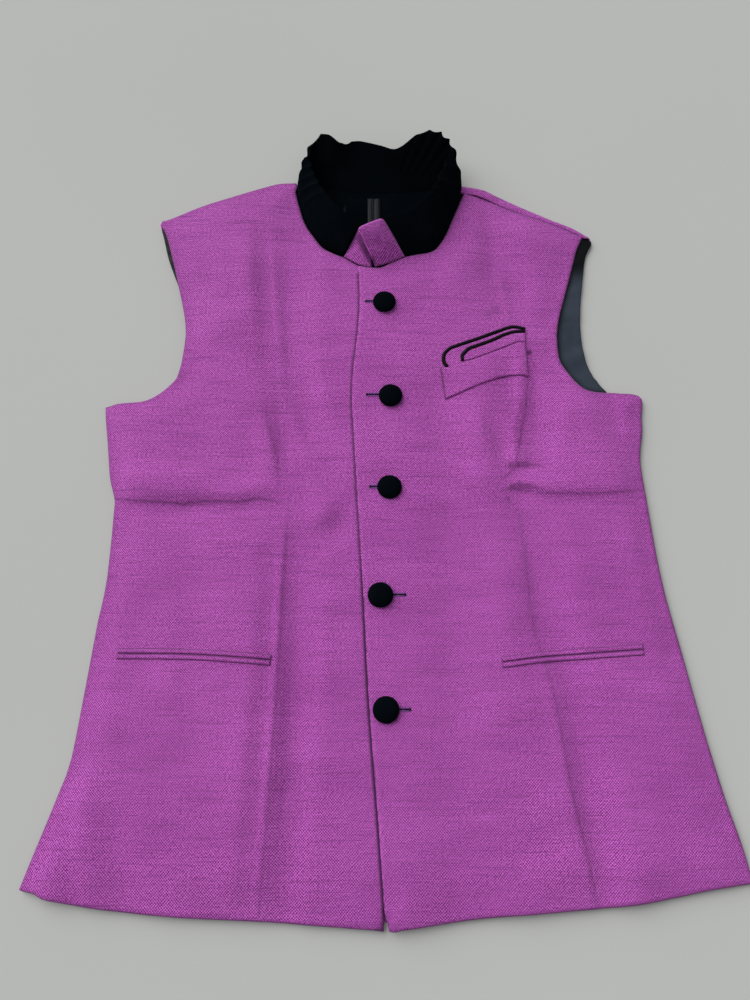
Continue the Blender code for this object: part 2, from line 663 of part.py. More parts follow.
def make_buttons(velvet, seat):
    """Covered buttons, domed over a narrower foot."""
    for number, (x, y) in enumerate(BUTTON_CENTRES, 1):
        rests = [seat.height(x, y)]
        for i in range(BUTTON_RESTS):
            turn = 2 * math.pi * i / BUTTON_RESTS
            reach = BUTTON_RADIUS * BUTTON_REST
            rests.append(seat.height(x + reach * math.cos(turn), y + reach * math.sin(turn)))
        foot = max(rests) + GAP
        points = []
        for radius, height in BUTTON_PROFILE:
            for i in range(BUTTON_SIDES):
                turn = 2 * math.pi * i / BUTTON_SIDES
                points.append((x + BUTTON_RADIUS * radius * math.cos(turn),
                               y + BUTTON_RADIUS * radius * math.sin(turn),
                               foot + BUTTON_HEIGHT * height))
        points.append((x, y, foot + BUTTON_HEIGHT))
        faces = [list(reversed(range(BUTTON_SIDES)))]
        rings = len(BUTTON_PROFILE)
        for j in range(rings - 1):
            for i in range(BUTTON_SIDES):
                k = (i + 1) % BUTTON_SIDES
                faces.append([j * BUTTON_SIDES + i, j * BUTTON_SIDES + k,
                              (j + 1) * BUTTON_SIDES + k, (j + 1) * BUTTON_SIDES + i])
        start = (rings - 1) * BUTTON_SIDES
        for i in range(BUTTON_SIDES):
            faces.append([start + i, start + (i + 1) % BUTTON_SIDES, len(points) - 1])
        mesh_object(f"button_{number}", points, faces, velvet)


def make_breast_pocket(cloth, piping, seat):
    """The breast welt, and the folded square that rises out of it with its piped edges."""
    right_end = [WELT_LOW_EDGE[-1], WELT_TOP_EDGE[0]]
    left_end = [WELT_TOP_EDGE[-1], WELT_LOW_EDGE[0]]
    edges = (WELT_TOP_EDGE, left_end, WELT_LOW_EDGE, right_end)
    welt = loop_of(*(curve(edge, POCKET_STEP) for edge in edges))
    laid_piece("breast_welt", seat, list(reversed(welt)), GAP, WELT, cloth)

    foot = [p + SQUARE_SETBACK for p in curve(WELT_TOP_EDGE, POCKET_STEP)]
    layers = (("back", SQUARE_BACK_EDGE, GAP),
              ("front", SQUARE_FRONT_EDGE, SQUARE_CLOTH + 3 * GAP))
    for name, edge, lift in layers:
        line = back_along(edge, SQUARE_STEP)
        base = [p for p in foot if line[-1].x - SAME_POINT < p.x < line[0].x + SAME_POINT]
        laid_piece(f"square_{name}", seat, loop_of(base, line), lift, SQUARE_CLOTH, cloth)
        strip = strip_between(edge, GAP, PIPING_WIDTH + GAP, SQUARE_STEP)
        laid_piece(f"square_{name}_piping", seat, strip, lift, PIPING_THICK, piping)


def make_hip_pockets(cloth, seats):
    """Two lips for each hip pocket, with the slit between them."""
    half = LIP_SLIT / 2
    lips = (("upper", half, half + LIP_WIDTH), ("lower", -half - LIP_WIDTH, -half))
    for side, line in (("right", HIP_SLIT_RIGHT), ("left", HIP_SLIT_LEFT)):
        for name, low, high in lips:
            strip = strip_between(line, low, high, LIP_STEP)
            laid_piece(f"hip_pocket_{side}_{name}", seats[side], strip, GAP, HIP_LIP, cloth)


def make_neck_loop(satin):
    """The loop of satin tape that hangs from the back of the neck, flat on the lining."""
    low = CLOTH + GAP + LINING + GAP
    left, right = LOOP_X - LOOP_WIDTH / 2, LOOP_X + LOOP_WIDTH / 2
    foot_y = LOOP_TOP_Y - LOOP_LENGTH
    corners = ((left, foot_y), (right, foot_y), (right, LOOP_TOP_Y), (left, LOOP_TOP_Y))
    outline = [Vector(corner) for corner in corners]
    wall("neck_loop", outline, lambda x, y: low + LINING, lambda x, y: low, satin)


def stand_on_origin():
    """Hangs every piece under one empty, with the middle of the jacket's foot at the origin."""
    pieces = list(bpy.data.objects)
    corners = [Vector(c) for piece in pieces for c in piece.bound_box]
    middle_x = (min(c.x for c in corners) + max(c.x for c in corners)) / 2
    middle_y = (min(c.y for c in corners) + max(c.y for c in corners)) / 2
    root = bpy.data.objects.new(ROOT_NAME, None)
    root.location = (-middle_x, -middle_y, 0.0)
    bpy.context.collection.objects.link(root)
    for piece in pieces:
        piece.parent = root


def main():
    clear_scene()
    cloth = material("magenta_cloth", (0.34, 0.07, 0.32), 0.85, 0.2)
    velvet = material("black_velvet", (0.004, 0.005, 0.007), 0.95, 0.6)
    satin = material("grey_satin", (0.05, 0.075, 0.1), 0.35)
    piping = material("black_piping", (0.008, 0.006, 0.01), 0.5)

    make_back(cloth, satin, velvet)
    front_right, front_left = make_fronts(cloth)
    seats = {"right": Seat(front_right), "left": Seat(front_left)}
    make_shoulder(cloth, seats["left"])
    make_collar(velvet, cloth)
    make_buttons(velvet, seats["left"])
    make_breast_pocket(cloth, piping, seats["left"])
    make_hip_pockets(cloth, seats)
    make_neck_loop(satin)
    stand_on_origin()


main()
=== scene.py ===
# %% [markdown]
# # A sleeveless jacket, buttoned up and laid flat
#
# A stand-collar jacket is a few flat panels of cloth: a back, two fronts that lap at the middle,
# a collar, pocket welts and a lining that shows at the armholes. Laid on a bed it is almost
# flat, so what makes it look like cloth is small: the loft of the fronts over the back, the
# creases where it was folded, edges that roll over, and a weave that can be seen.
#
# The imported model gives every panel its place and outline. Each is replaced here by a finer
# piece on the same form.

# %% Load the frame
import math
from collections import namedtuple

import bmesh
import bpy
import numpy as np
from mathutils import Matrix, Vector
from mathutils.bvhtree import BVHTree
from mathutils.geometry import delaunay_2d_cdt


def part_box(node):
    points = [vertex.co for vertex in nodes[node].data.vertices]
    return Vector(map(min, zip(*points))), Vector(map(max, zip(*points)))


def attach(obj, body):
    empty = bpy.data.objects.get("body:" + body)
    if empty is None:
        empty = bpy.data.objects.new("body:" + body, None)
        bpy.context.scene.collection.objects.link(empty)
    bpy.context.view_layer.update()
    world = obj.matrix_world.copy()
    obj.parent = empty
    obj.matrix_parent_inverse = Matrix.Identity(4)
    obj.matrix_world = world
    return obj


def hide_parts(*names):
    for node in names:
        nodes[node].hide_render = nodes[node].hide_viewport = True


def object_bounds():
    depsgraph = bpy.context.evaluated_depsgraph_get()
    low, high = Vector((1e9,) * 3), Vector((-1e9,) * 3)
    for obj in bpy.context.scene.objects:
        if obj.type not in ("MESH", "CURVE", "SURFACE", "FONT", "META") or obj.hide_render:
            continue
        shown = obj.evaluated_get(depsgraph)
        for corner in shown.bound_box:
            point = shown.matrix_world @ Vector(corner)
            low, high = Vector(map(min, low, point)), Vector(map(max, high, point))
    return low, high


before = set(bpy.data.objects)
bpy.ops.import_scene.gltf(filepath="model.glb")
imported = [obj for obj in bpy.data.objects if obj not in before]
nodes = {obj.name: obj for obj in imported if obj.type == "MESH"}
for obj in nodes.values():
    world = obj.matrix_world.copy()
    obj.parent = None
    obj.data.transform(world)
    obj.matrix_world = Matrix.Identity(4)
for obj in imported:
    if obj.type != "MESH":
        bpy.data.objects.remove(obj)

MM = 0.001
cad_low, cad_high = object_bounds()
hem_y = cad_low[1]
print(f"{len(nodes)} nodes, the hem's lowest point is at y = {hem_y / MM:.1f} mm")

# %% [markdown]
# ## A tailor's frame
#
# A tailor measures from the hem up and from the centre front to the sides, in millimetres. The
# helpers below keep to that and only turn points into the frame's metres when a mesh is made.
# Left and right are the wearer's.

# %% Points and pieces
HEM_LINE = np.array([0.0, hem_y, 0.0])


def to_frame(points):
    """Points in millimetres from the hem and the centre front, as metres in the frame."""
    return np.asarray(points, float) * MM + HEM_LINE


def to_tailor(points):
    """The other way round: points in the frame's metres, in the tailor's millimetres."""
    return (points - HEM_LINE) / MM


def deselect():
    """Leaves edit mode and selects nothing."""
    if bpy.context.mode != "OBJECT":
        bpy.ops.object.mode_set(mode="OBJECT")
    bpy.ops.object.select_all(action="DESELECT")


def take_up(piece):
    """Makes a piece the only selected and the active one."""
    deselect()
    piece.select_set(True)
    bpy.context.view_layer.objects.active = piece


def apply_modifiers(piece):
    take_up(piece)
    for modifier in list(piece.modifiers):
        bpy.ops.object.modifier_apply(modifier=modifier.name)


def linked(name, data):
    """A new object in the scene."""
    made = bpy.data.objects.new(name, data)
    bpy.context.collection.objects.link(made)
    return made


def new_piece(name, points, faces):
    """A piece from points in the tailor's frame."""
    mesh = bpy.data.meshes.new(name)
    mesh.from_pydata(to_frame(points).tolist(), [], faces)
    return linked(name, mesh)


def places_of(piece):
    """The places of a piece's points, in the frame's metres."""
    places = np.empty(len(piece.data.vertices) * 3)
    piece.data.vertices.foreach_get("co", places)
    return places.reshape(-1, 3)


def dress(piece, finish, *stands_for):
    """Gives a piece its finish and its body, and lets it stand for CAD nodes."""
    piece.data.materials.clear()
    piece.data.materials.append(finish)
    piece.data.shade_smooth()
    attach(piece, "root")
    if stands_for:
        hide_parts(*stands_for)
    print(f"{piece.name}: {len(piece.data.polygons)} faces in {finish.name}")
    return piece

# %% [markdown]
# ## Camera
#
# The photograph looks down on the jacket from above its lower half, tilted a little towards the
# collar. A phone held by hand over a bed sees it like this, so the hem looks wider than it is.

# %% The camera
CAMERA_SIDE = -9.6       # from the centre front
CAMERA_UP_JACKET = 156.3
CAMERA_HEIGHT = 704.0
CAMERA_TILT = 16.9       # degrees from straight down
SENSOR = 36.0
FRAME_HEIGHT = 1000      # pixels of the frame's long side
FOCAL_PIXELS = 760       # focal length in the same pixels
NEAREST_SEEN = 0.01

lens = bpy.data.cameras.new("camera")
lens.sensor_width = SENSOR
lens.lens = SENSOR * FOCAL_PIXELS / FRAME_HEIGHT
lens.clip_start = NEAREST_SEEN
camera = linked("camera", lens)
camera.location = to_frame([CAMERA_SIDE, CAMERA_UP_JACKET, CAMERA_HEIGHT])
camera.rotation_euler = (math.radians(CAMERA_TILT), 0.0, 0.0)
bpy.context.scene.camera = camera
print(f"camera at {tuple(round(c, 3) for c in camera.location)}, lens {lens.lens:.1f} mm")

# %% [markdown]
# ## Light and floor
#
# A crease of four millimetres only shows when light rakes over it. One large soft light stands
# low beyond the wearer's right shoulder, and an even sky fills the shadows.

# %% Light and floor
FLOOR_SIZE = 6.0
FLOOR_DROP = 0.2 * MM
KEY_FROM = (-0.62, 0.55, 0.56)
KEY_STRENGTH = 2.84
KEY_SOFTNESS = 70.0      # degrees that the light spans
KEY_COLOUR = (1.0, 0.99, 0.97)
SKY_STRENGTH = 0.30
SKY_COLOUR = (0.98, 1.0, 1.0, 1.0)

key = bpy.data.lights.new("key", "SUN")
key.energy = KEY_STRENGTH
key.angle = math.radians(KEY_SOFTNESS)
key.color = KEY_COLOUR
linked("key", key).rotation_euler = Vector(KEY_FROM).to_track_quat("Z", "Y").to_euler()

world = bpy.data.worlds.new("studio")
world.use_nodes = True
sky = world.node_tree.nodes["Background"]
sky.inputs["Color"].default_value = SKY_COLOUR
sky.inputs["Strength"].default_value = SKY_STRENGTH
bpy.context.scene.world = world
bpy.context.scene.view_settings.view_transform = "Standard"

deselect()
bpy.ops.mesh.primitive_plane_add(size=FLOOR_SIZE, location=(0, 0, -FLOOR_DROP))
floor = bpy.context.object
floor.name = "floor"
print("one key light and an even sky")

# %% [markdown]
# ## Finishes
#
# Cloth has no image here: each finish is worked out from the piece's own UV map, whose unit is
# the metre, so a thread is as thick on the pocket as on the back. A short helper adds a shader
# node, sets its values and joins what feeds it.

# %% A helper for shader nodes
class Finish:
    """A material that is built up node by node; calling it adds a node and gives its output."""

    def __init__(self, name, slot, **shader):
        self.made = bpy.data.materials.new(name)
        self.made.use_nodes = True
        self.made["slot"] = slot
        self.tree = self.made.node_tree
        self.shader = self.tree.nodes["Principled BSDF"]
        for socket, value in shader.items():
            self.shader.inputs[socket.replace("_", " ")].default_value = value

    def __call__(self, kind, output=0, settings=(), **inputs):
        added = self.tree.nodes.new(kind)
        for key, value in dict(settings).items():
            setattr(added, key, value)
        for key, value in inputs.items():
            place = int(key[1:]) if key[0] == "i" and key[1:].isdigit() else key.replace("_", " ")
            self.join(value, added.inputs[place])
        return added.outputs[output]

    def join(self, value, socket):
        if isinstance(value, bpy.types.NodeSocket):
            self.tree.links.new(value, socket)
        else:
            socket.default_value = value

    def math(self, operation, a, b=0.0):
        return self("ShaderNodeMath", settings={"operation": operation}, i0=a, i1=b)

    def plus(self, a, b, share=1.0):
        return self.math("ADD", a, self.math("MULTIPLY", b, share))

    def waves(self, place, length):
        return self.math("SINE", self.math("MULTIPLY", place, 2 * math.pi / length))

    def mix(self, factor, a, b):
        return self("ShaderNodeMix", 2, {"data_type": "RGBA"}, i0=factor, i6=a, i7=b)

    def painted(self, name):
        """How strong an effect is at each point of the piece, from 0 to 1."""
        return self("ShaderNodeAttribute", 2, {"attribute_name": name})

    def steps(self, value, low, high):
        """0 below low and 1 above high."""
        return self("ShaderNodeMapRange", Value=value, From_Min=low, From_Max=high)

    def stretched_noise(self, uv, across, along, detail=2.0, offset=0.0):
        """Noise with so many features to the metre across the cloth and along it."""
        place = self("ShaderNodeMapping", Vector=uv, Scale=(across, along, 1.0),
                     Location=(offset, offset, offset))
        return self("ShaderNodeTexNoise", Vector=place, Scale=1.0, Detail=detail)

    def done(self, colour, height=None, depth=0.0, strength=1.0):
        """Gives the shader its colour and the relief of its bump, and gives the material."""
        self.join(colour, self.shader.inputs["Base Color"])
        if height is not None:
            normal = self("ShaderNodeBump", Height=height, Distance=depth, Strength=strength)
            self.join(normal, self.shader.inputs["Normal"])
        return self.made

# %% [markdown]
# ### Magenta cloth
#
# A matt basket weave of doubled threads, which repeats every two or three millimetres. The
# threads are uneven: thin weft slubs run across the jacket for some centimetres and then fade,
# most of them a little darker than the cloth. The weave goes into the colour as well as into
# the bump, because from a step away a thread is hardly wider than a pixel.

# %% The cloth's finish
WARP_REPEAT = 2.3 * MM
WEFT_REPEAT = 2.5 * MM
LIGHT_THREAD = (0.86, 0.205, 0.85, 1.0)
DARK_THREAD = (0.15, 0.003, 0.145, 1.0)
SLUB_COLOUR = (0.17, 0.025, 0.18, 1.0)
# the dark purple that painted shade turns the cloth towards
PAINTED_SHADE_COLOUR = (0.045, 0.008, 0.055, 1.0)


def cloth_finish():
    cloth = Finish("slubbed magenta cloth", "magenta_cloth", Roughness=0.82, Sheen_Weight=0.12,
                   Sheen_Roughness=0.45, Specular_IOR_Level=0.25)
    uv = cloth("ShaderNodeUVMap")
    sway = cloth.stretched_noise(uv, 5.0, 4.0)
    uneven = cloth.stretched_noise(uv, 110.0, 90.0, 1.0, 6.3)
    apart = cloth("ShaderNodeSeparateXYZ", Vector=uv).node
    across = cloth.plus(cloth.plus(apart.outputs[0], sway, 0.006), uneven, -0.0013)
    along = cloth.plus(cloth.plus(apart.outputs[1], sway, 0.007), uneven, 0.0016)
    basket = cloth.math("MULTIPLY", cloth.waves(across, WARP_REPEAT),
                        cloth.waves(along, WEFT_REPEAT))
    swayed = cloth("ShaderNodeCombineXYZ", X=across, Y=along, Z=0.0)
    weave = cloth.plus(cloth.stretched_noise(swayed, 460.0, 700.0), basket, 0.40)
    rows = cloth.stretched_noise(swayed, 26.0, 420.0, 2.0, 1.3)
    dark_slubs = cloth.stretched_noise(swayed, 22.0, 1250.0, 1.0, 3.7)
    light_slubs = cloth.stretched_noise(swayed, 16.0, 1150.0, 1.0, 9.1)
    patches = cloth.stretched_noise(uv, 9.0, 14.0, 3.0, 5.0)
    colour = cloth.mix(cloth.steps(weave, 0.26, 0.74), DARK_THREAD, LIGHT_THREAD)
    for pattern, low, high, share, shade in (
            (rows, 0.3, 0.7, 0.14, DARK_THREAD), (dark_slubs, 0.575, 0.69, 0.46, SLUB_COLOUR),
            (light_slubs, 0.61, 0.73, 0.32, LIGHT_THREAD), (patches, 0.3, 0.7, 0.16, DARK_THREAD)):
        shows = cloth.math("MULTIPLY", cloth.steps(pattern, low, high), share)
        colour = cloth.mix(shows, colour, shade)
    # painted shade: where the attribute says, the cloth is darkened as if it lay in shade
    colour = cloth.mix(cloth.painted("crevice"), colour, PAINTED_SHADE_COLOUR)
    raised = cloth.plus(weave, cloth.steps(light_slubs, 0.61, 0.73), 0.5)
    return cloth.done(colour, raised, 0.35 * MM, 0.8)


cloth = cloth_finish()
print(f"{cloth.name}: the weave repeats every {WARP_REPEAT / MM:.1f} by {WEFT_REPEAT / MM:.1f} mm")

# %% [markdown]
# ### Velvet, satin, piping and thread
#
# Velvet is nearly black and catches light only where its pile leans, so it gets a faint sheen
# and patches of brushed pile. The satin lining is smooth and slate grey. The piping is a tightly
# twisted satin cord, and the buttonholes are oversewn in a violet thread.

# %% The other finishes
def velvet_finish(name, sheen):
    velvet = Finish(name, "black_velvet", Roughness=0.9, Sheen_Weight=sheen,
                    Sheen_Roughness=0.3, Sheen_Tint=(0.45, 0.62, 0.80, 1.0),
                    Specular_IOR_Level=0.0)
    place = velvet("ShaderNodeTexCoord", 3)
    brushed = velvet("ShaderNodeTexNoise", Vector=place, Scale=38.0, Detail=3.0)
    pile = velvet("ShaderNodeTexNoise", Vector=place, Scale=2600.0, Detail=1.0)
    colour = velvet.mix(velvet.steps(brushed, 0.5, 0.8), (0.0022, 0.0037, 0.0055, 1.0),
                        (0.0036, 0.0058, 0.0082, 1.0))
    # painted sheen: where the attribute says, the velvet turns a pale blue-grey
    colour = velvet.mix(velvet.painted("leaning"), colour, (0.050, 0.062, 0.070, 1.0))
    return velvet.done(colour, velvet.plus(pile, brushed), 0.25 * MM, 0.7)


def satin_finish():
    satin = Finish("slate satin", "grey_satin", Roughness=0.42, Specular_IOR_Level=0.12)
    uv = satin("ShaderNodeUVMap")
    ribs = satin.stretched_noise(uv, 60.0, 1800.0)
    clouds = satin.stretched_noise(uv, 16.0, 22.0, 3.0)
    colour = satin.mix(satin.steps(clouds, 0.3, 0.7), (0.029, 0.039, 0.057, 1.0),
                       (0.052, 0.067, 0.095, 1.0))
    # painted shade: the satin is darkened nearly to black where the attribute says
    colour = satin.mix(satin.painted("crevice"), colour, (0.002, 0.002, 0.003, 1.0))
    return satin.done(colour, satin.plus(clouds, ribs, 0.1), 1.2 * MM, 0.5)


def piping_finish():
    piping = Finish("black satin piping", "black_piping", Roughness=0.6,
                    Specular_IOR_Level=0.12)
    place = piping("ShaderNodeTexCoord", 3)
    twist = piping("ShaderNodeTexWave", 1, {"bands_direction": "DIAGONAL"}, Vector=place,
                   Scale=260.0, Distortion=1.5)
    colour = piping.mix(twist, (0.0025, 0.0015, 0.0035, 1.0), (0.008, 0.004, 0.010, 1.0))
    return piping.done(colour, twist, 0.2 * MM, 0.6)


def thread_finish():
    thread = Finish("violet thread", "magenta_cloth", Roughness=0.6)
    place = thread("ShaderNodeTexCoord", 3)
    strands = thread("ShaderNodeTexNoise", Vector=place, Scale=1500.0, Detail=2.0)
    colour = thread.mix(strands, (0.15, 0.045, 0.25, 1.0), (0.36, 0.12, 0.50, 1.0))
    return thread.done(colour, strands, 0.1 * MM)


def floor_finish():
    sheet = Finish("pale floor", "floor", Roughness=0.95, Specular_IOR_Level=0.1)
    place = sheet("ShaderNodeTexCoord", 3)
    clouds = sheet("ShaderNodeTexNoise", Vector=place, Scale=1.6, Detail=2.0)
    return sheet.done(sheet.mix(clouds, (0.56, 0.57, 0.56, 1.0), (0.61, 0.62, 0.61, 1.0)))


velvet = velvet_finish("black velvet", 0.0)
brushed_velvet = velvet_finish("brushed black velvet", 0.07)
satin, piping, thread = satin_finish(), piping_finish(), thread_finish()
floor.data.materials.append(floor_finish())
finishes = (cloth, velvet, brushed_velvet, satin, piping, thread)
print("finishes:", ", ".join(finish.name for finish in finishes))

# %% [markdown]
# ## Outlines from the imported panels
#
# Every panel is cut from cloth with scissors, so its outline is its pattern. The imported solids
# have the outlines already, as straight steps of a few millimetres: the rim of a solid's upper
# face is followed, and a smooth curve is drawn through it that keeps the real corners.

# %% Outlines
TIP_ANGLE = 38.0        # degrees; a sharper turn is a corner of the cloth
WELD = 0.01 * MM


def merged_copy(node):
    """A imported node's mesh with its loose triangles joined."""
    shape = bmesh.new()
    shape.from_mesh(nodes[node].data)
    bmesh.ops.remove_doubles(shape, verts=shape.verts, dist=WELD)
    return shape


def outline_of(node):
    """The rim of a node's upper face, anticlockwise, as points in millimetres."""
    shape = merged_copy(node)
    upper = [face for face in shape.faces if face.normal.z > 0.5]
    chosen = set(upper)
    following = {}
    for face in upper:
        for corner in face.loops:
            if sum(other in chosen for other in corner.edge.link_faces) == 1:
                following[corner.vert] = corner.link_loop_next.vert
    loops = []
    while following:
        vert, ahead = following.popitem()
        loop = [vert]
        while ahead in following:
            loop.append(ahead)
            ahead = following.pop(ahead)
        loops.append(np.array([v.co for v in loop]))
    shape.free()
    return to_tailor(max(loops, key=len))


def hermite(start, leaving, end, arriving, t):
    """A place on the smooth curve that leaves the start and arrives at the end as told."""
    return (start * (2 * t**3 - 3 * t**2 + 1) + leaving * (t**3 - 2 * t**2 + t)
            + end * (3 * t**2 - 2 * t**3) + arriving * (t**3 - t**2))


def smooth_loop(points, step):
    """Points a step apart on a closed smooth curve, whose corners stay corners."""
    ahead = np.roll(points, -1, axis=0)
    behind = np.roll(points, 1, axis=0)
    leaving, arriving = (ahead - points)[:, :2], (points - behind)[:, :2]
    turn = np.arctan2(leaving[:, 0] * arriving[:, 1] - leaving[:, 1] * arriving[:, 0],
                      (leaving * arriving).sum(axis=1))
    corner = np.abs(turn) > math.radians(TIP_ANGLE)
    made = []
    for i, b in enumerate(points):
        j = (i + 1) % len(points)
        c = points[j]
        a = b * 2 - c if corner[i] else behind[i]
        d = c * 2 - b if corner[j] else ahead[j]
        count = max(1, round(np.linalg.norm((c - b)[:2]) / step))
        made += [hermite(b, (c - a) * 0.5, c, (d - b) * 0.5, t) for t in np.arange(count) / count]
    return np.array(made)


def smooth_outline(node, step):
    return smooth_loop(outline_of(node), step)


print(f"the back's rim has {len(outline_of('back'))} straight steps")

# %% [markdown]
# ### Distances and fades
#
# Most of the form of a laid garment depends on how far a place is from a seam, an edge or a
# fold. Distances are measured on the flat pattern, and a fade turns them into soft slopes.

# %% Distances and fades
def nearest(points, starts, ends):
    """Distance from each point to the nearest segment, whether it lies on that one's left,
    and how far along all segments the nearest place is, from 0 to 1."""
    best = np.full(len(points), np.inf)
    left = np.zeros(len(points), bool)
    place = np.zeros(len(points))
    lengths = np.linalg.norm((ends - starts)[:, :2], axis=1)
    passed = np.concatenate([[0.0], np.cumsum(lengths)])
    for i, (a, b) in enumerate(zip(starts[:, :2], ends[:, :2])):
        along = b - a
        offset = points[:, :2] - a
        t = np.clip(offset @ along / max(along @ along, 1e-12), 0.0, 1.0)
        offset = offset - t[:, None] * along
        away = np.hypot(offset[:, 0], offset[:, 1])
        closer = away < best
        best[closer] = away[closer]
        left[closer] = (along[0] * offset[:, 1] - along[1] * offset[:, 0] > 0)[closer]
        place[closer] = (passed[i] + t * lengths[i])[closer]
    return best, left, place / passed[-1]


def from_rim(points, rim):
    """Distance from each point to an outline."""
    return nearest(points, rim, np.roll(rim, -1, axis=0))[0]


def from_spot(points, x, y):
    return np.hypot(points[:, 0] - x, points[:, 1] - y)


def within(loop, points):
    """Whether each point lies inside a closed outline."""
    inside = np.zeros(len(points), bool)
    for a, b in zip(loop, np.roll(loop, -1, axis=0)):
        if a[1] != b[1]:
            crossed = (a[1] > points[:, 1]) != (b[1] > points[:, 1])
            at = a[0] + (points[:, 1] - a[1]) / (b[1] - a[1]) * (b[0] - a[0])
            inside ^= crossed & (points[:, 0] < at)
    return inside


def ease(t):
    """0 below 0, 1 above 1 and a smooth step between."""
    t = np.clip(t, 0.0, 1.0)
    return t * t * (3.0 - 2.0 * t)


def fade(away, reach):
    """1 where nothing is between, and 0 from the reach on."""
    return ease(1.0 - away / reach)


print(f"a quarter of the way out, a fade is at {fade(0.25, 1.0):.2f}")

# %% [markdown]
# ### Outlines of the fronts
#
# A cut panel has sharp corners where two seams meet, and the steps of a solid cut them short.
# They are pulled out one by one, as a tailor nips the cloth. The right front's foot is cut away
# where it would look out from under the lap.

# %% Outlines of the fronts
def pulled(rim, *moves):
    """An outline with some places moved: each is where it was, where it goes, and the reach."""
    moved = rim.copy()
    for was, now, reach in moves:
        moved[:, :2] += fade(from_spot(rim, *was), reach)[:, None] * (np.array(now) - np.array(was))
    return moved


def cornered(rim, corner, reach):
    """An outline with a sharp corner in place of its points near there."""
    near = from_spot(rim, *corner) < reach
    start = int(np.argmax(near & ~np.roll(near, 1)))
    turned, near = np.roll(rim, -start, axis=0), np.roll(near, -start)
    return np.vstack([[(*corner, 0.0)], turned[~near]])


def grown(rim, by):
    """An outline moved outwards, or inwards if by less than 0."""
    along = (np.roll(rim, -1, axis=0) - np.roll(rim, 1, axis=0))[:, :2]
    outward = np.column_stack([along[:, 1], -along[:, 0]])
    moved = rim.copy()
    moved[:, :2] += by * outward / np.linalg.norm(along, axis=1)[:, None]
    return moved


RIM_STEP = 2.0
COLLAR_SEAM = ((-97.5, 729.0), (-94.8, 729.0), 9.0)    # each: was here, goes there, reach
SHOULDER_TIP = ((-237.3, 689.9), (-238.9, 683.5), 28.0)
HEM_TIP = ((-303.9, 35.0), (-305.2, 30.6), 16.0)
ARMHOLE_CORNER, ARMHOLE_CORNER_REACH = (-279.1, 465.5), 11.0
LAP_FOOT = [(-2.4, -1.3, 0.0), (-2.2, 15.0, 0.0)]    # the underlap is cut away beside this
CORNER_START = -10.0     # the rounded corner of the solid starts here
LEFT_MOVES = [
    ((0, 1), (3, -1.8), 14),                                                 # foot of the lap
    ((253.6, 472.2), (256.8, 475.2), 20), ((254.5, 440.0), (256.4, 440.0), 30),    # side seam
    ((228.0, 477.5), (228.0, 479.6), 20),                                    # armhole's foot
    ((301.0, 56.0), (303.2, 56.0), 55),                                      # side at the hem
]

right_rim = pulled(smooth_outline("front_right", RIM_STEP), COLLAR_SEAM, SHOULDER_TIP, HEM_TIP)
right_rim = cornered(right_rim, ARMHOLE_CORNER, ARMHOLE_CORNER_REACH)
cut_away = (right_rim[:, 0] > CORNER_START) & (right_rim[:, 1] < LAP_FOOT[1][1])
front_outlines = {
    "front_right": np.insert(right_rim[~cut_away], int(np.argmax(cut_away)), LAP_FOOT, axis=0),
    "front_left": pulled(smooth_outline("front_left", RIM_STEP), *LEFT_MOVES),
}
for name, rim in front_outlines.items():
    print(f"{name}: {len(rim)} points round, {rim[:, 0].min():.0f} to {rim[:, 0].max():.0f} mm")

# %% [markdown]
# ## The fronts' form
#
# Two layers of cloth and their linings don't lie dead flat. The sides are sewn to the back and
# lie low, then the cloth rises a few millimetres and stays there; the lapped middle with its
# facings is the thickest. The hem waves where it stands off the surface.

# %% Large forms
CLOTH = 2.0
GAP = 0.3
LAP_GAP = 0.7
EDGE_RISE = 1.6
PUFF, PUFF_REACH = 2.6, 34.0
SIDE_REACH = 24.0
CENTRE_RISE, CENTRE_X, CENTRE_REACH, CENTRE_SLOPE = 2.7, -9.0, 75.0, 45.0
LAP_DIP_START, LAP_DIP_END = -72.0, -40.0
FOLD_AT_SIDE = 0.3
HEM_LIFT_DEPTH = 60.0
HEM_LIFTS = [  # centre from the centre front, reach to both sides, rise
    (-280, 26, 3.0), (-180, 40, 1.0), (120, 42, 2.0), (205, 34, 2.6),
]
SIDE_X = 243.0           # the side seams lie farther out than this,
SIDE_SPAN = (36.0, 482.0)    # between these heights above the hem


def border_segments():
    """Starts and ends of the fronts' borders but the lap: all of them, the sides, the hems."""
    right, left = front_outlines["front_right"], front_outlines["front_left"]
    starts = np.vstack([right, left])
    ends = np.vstack([np.roll(right, -1, axis=0), np.roll(left, -1, axis=0)])
    middle, along = (starts + ends) / 2, np.abs(ends - starts)
    x, y = np.abs(middle[:, 0]), middle[:, 1]
    lap = np.concatenate([within(left, middle[:len(right)]), within(right, middle[len(right):])])
    upright = along[:, 1] > along[:, 0]
    side = (x > SIDE_X) & (y > SIDE_SPAN[0]) & (y < SIDE_SPAN[1]) & upright
    hem = (y < SIDE_SPAN[0]) & ~upright & ~lap
    return [(starts[chosen], ends[chosen]) for chosen in (~lap, side, hem)]


all_borders, side_borders, hem_borders = border_segments()
print(f"borders: {len(side_borders[0])} side and {len(hem_borders[0])} hem steps")

# %% [markdown]
# ## Folds
#
# The jacket was stored folded, and the folds stay: one down each side from the shoulder to the
# hem, one across the waist, and small dents where they cross and around the pocket. Each is
# described as a draughtsman would: its line on the cloth, and sections across it with their
# heights at fixed offsets, on the right of the line's direction first. Between the sections the
# form runs smoothly, and it fades out at both ends of the line.

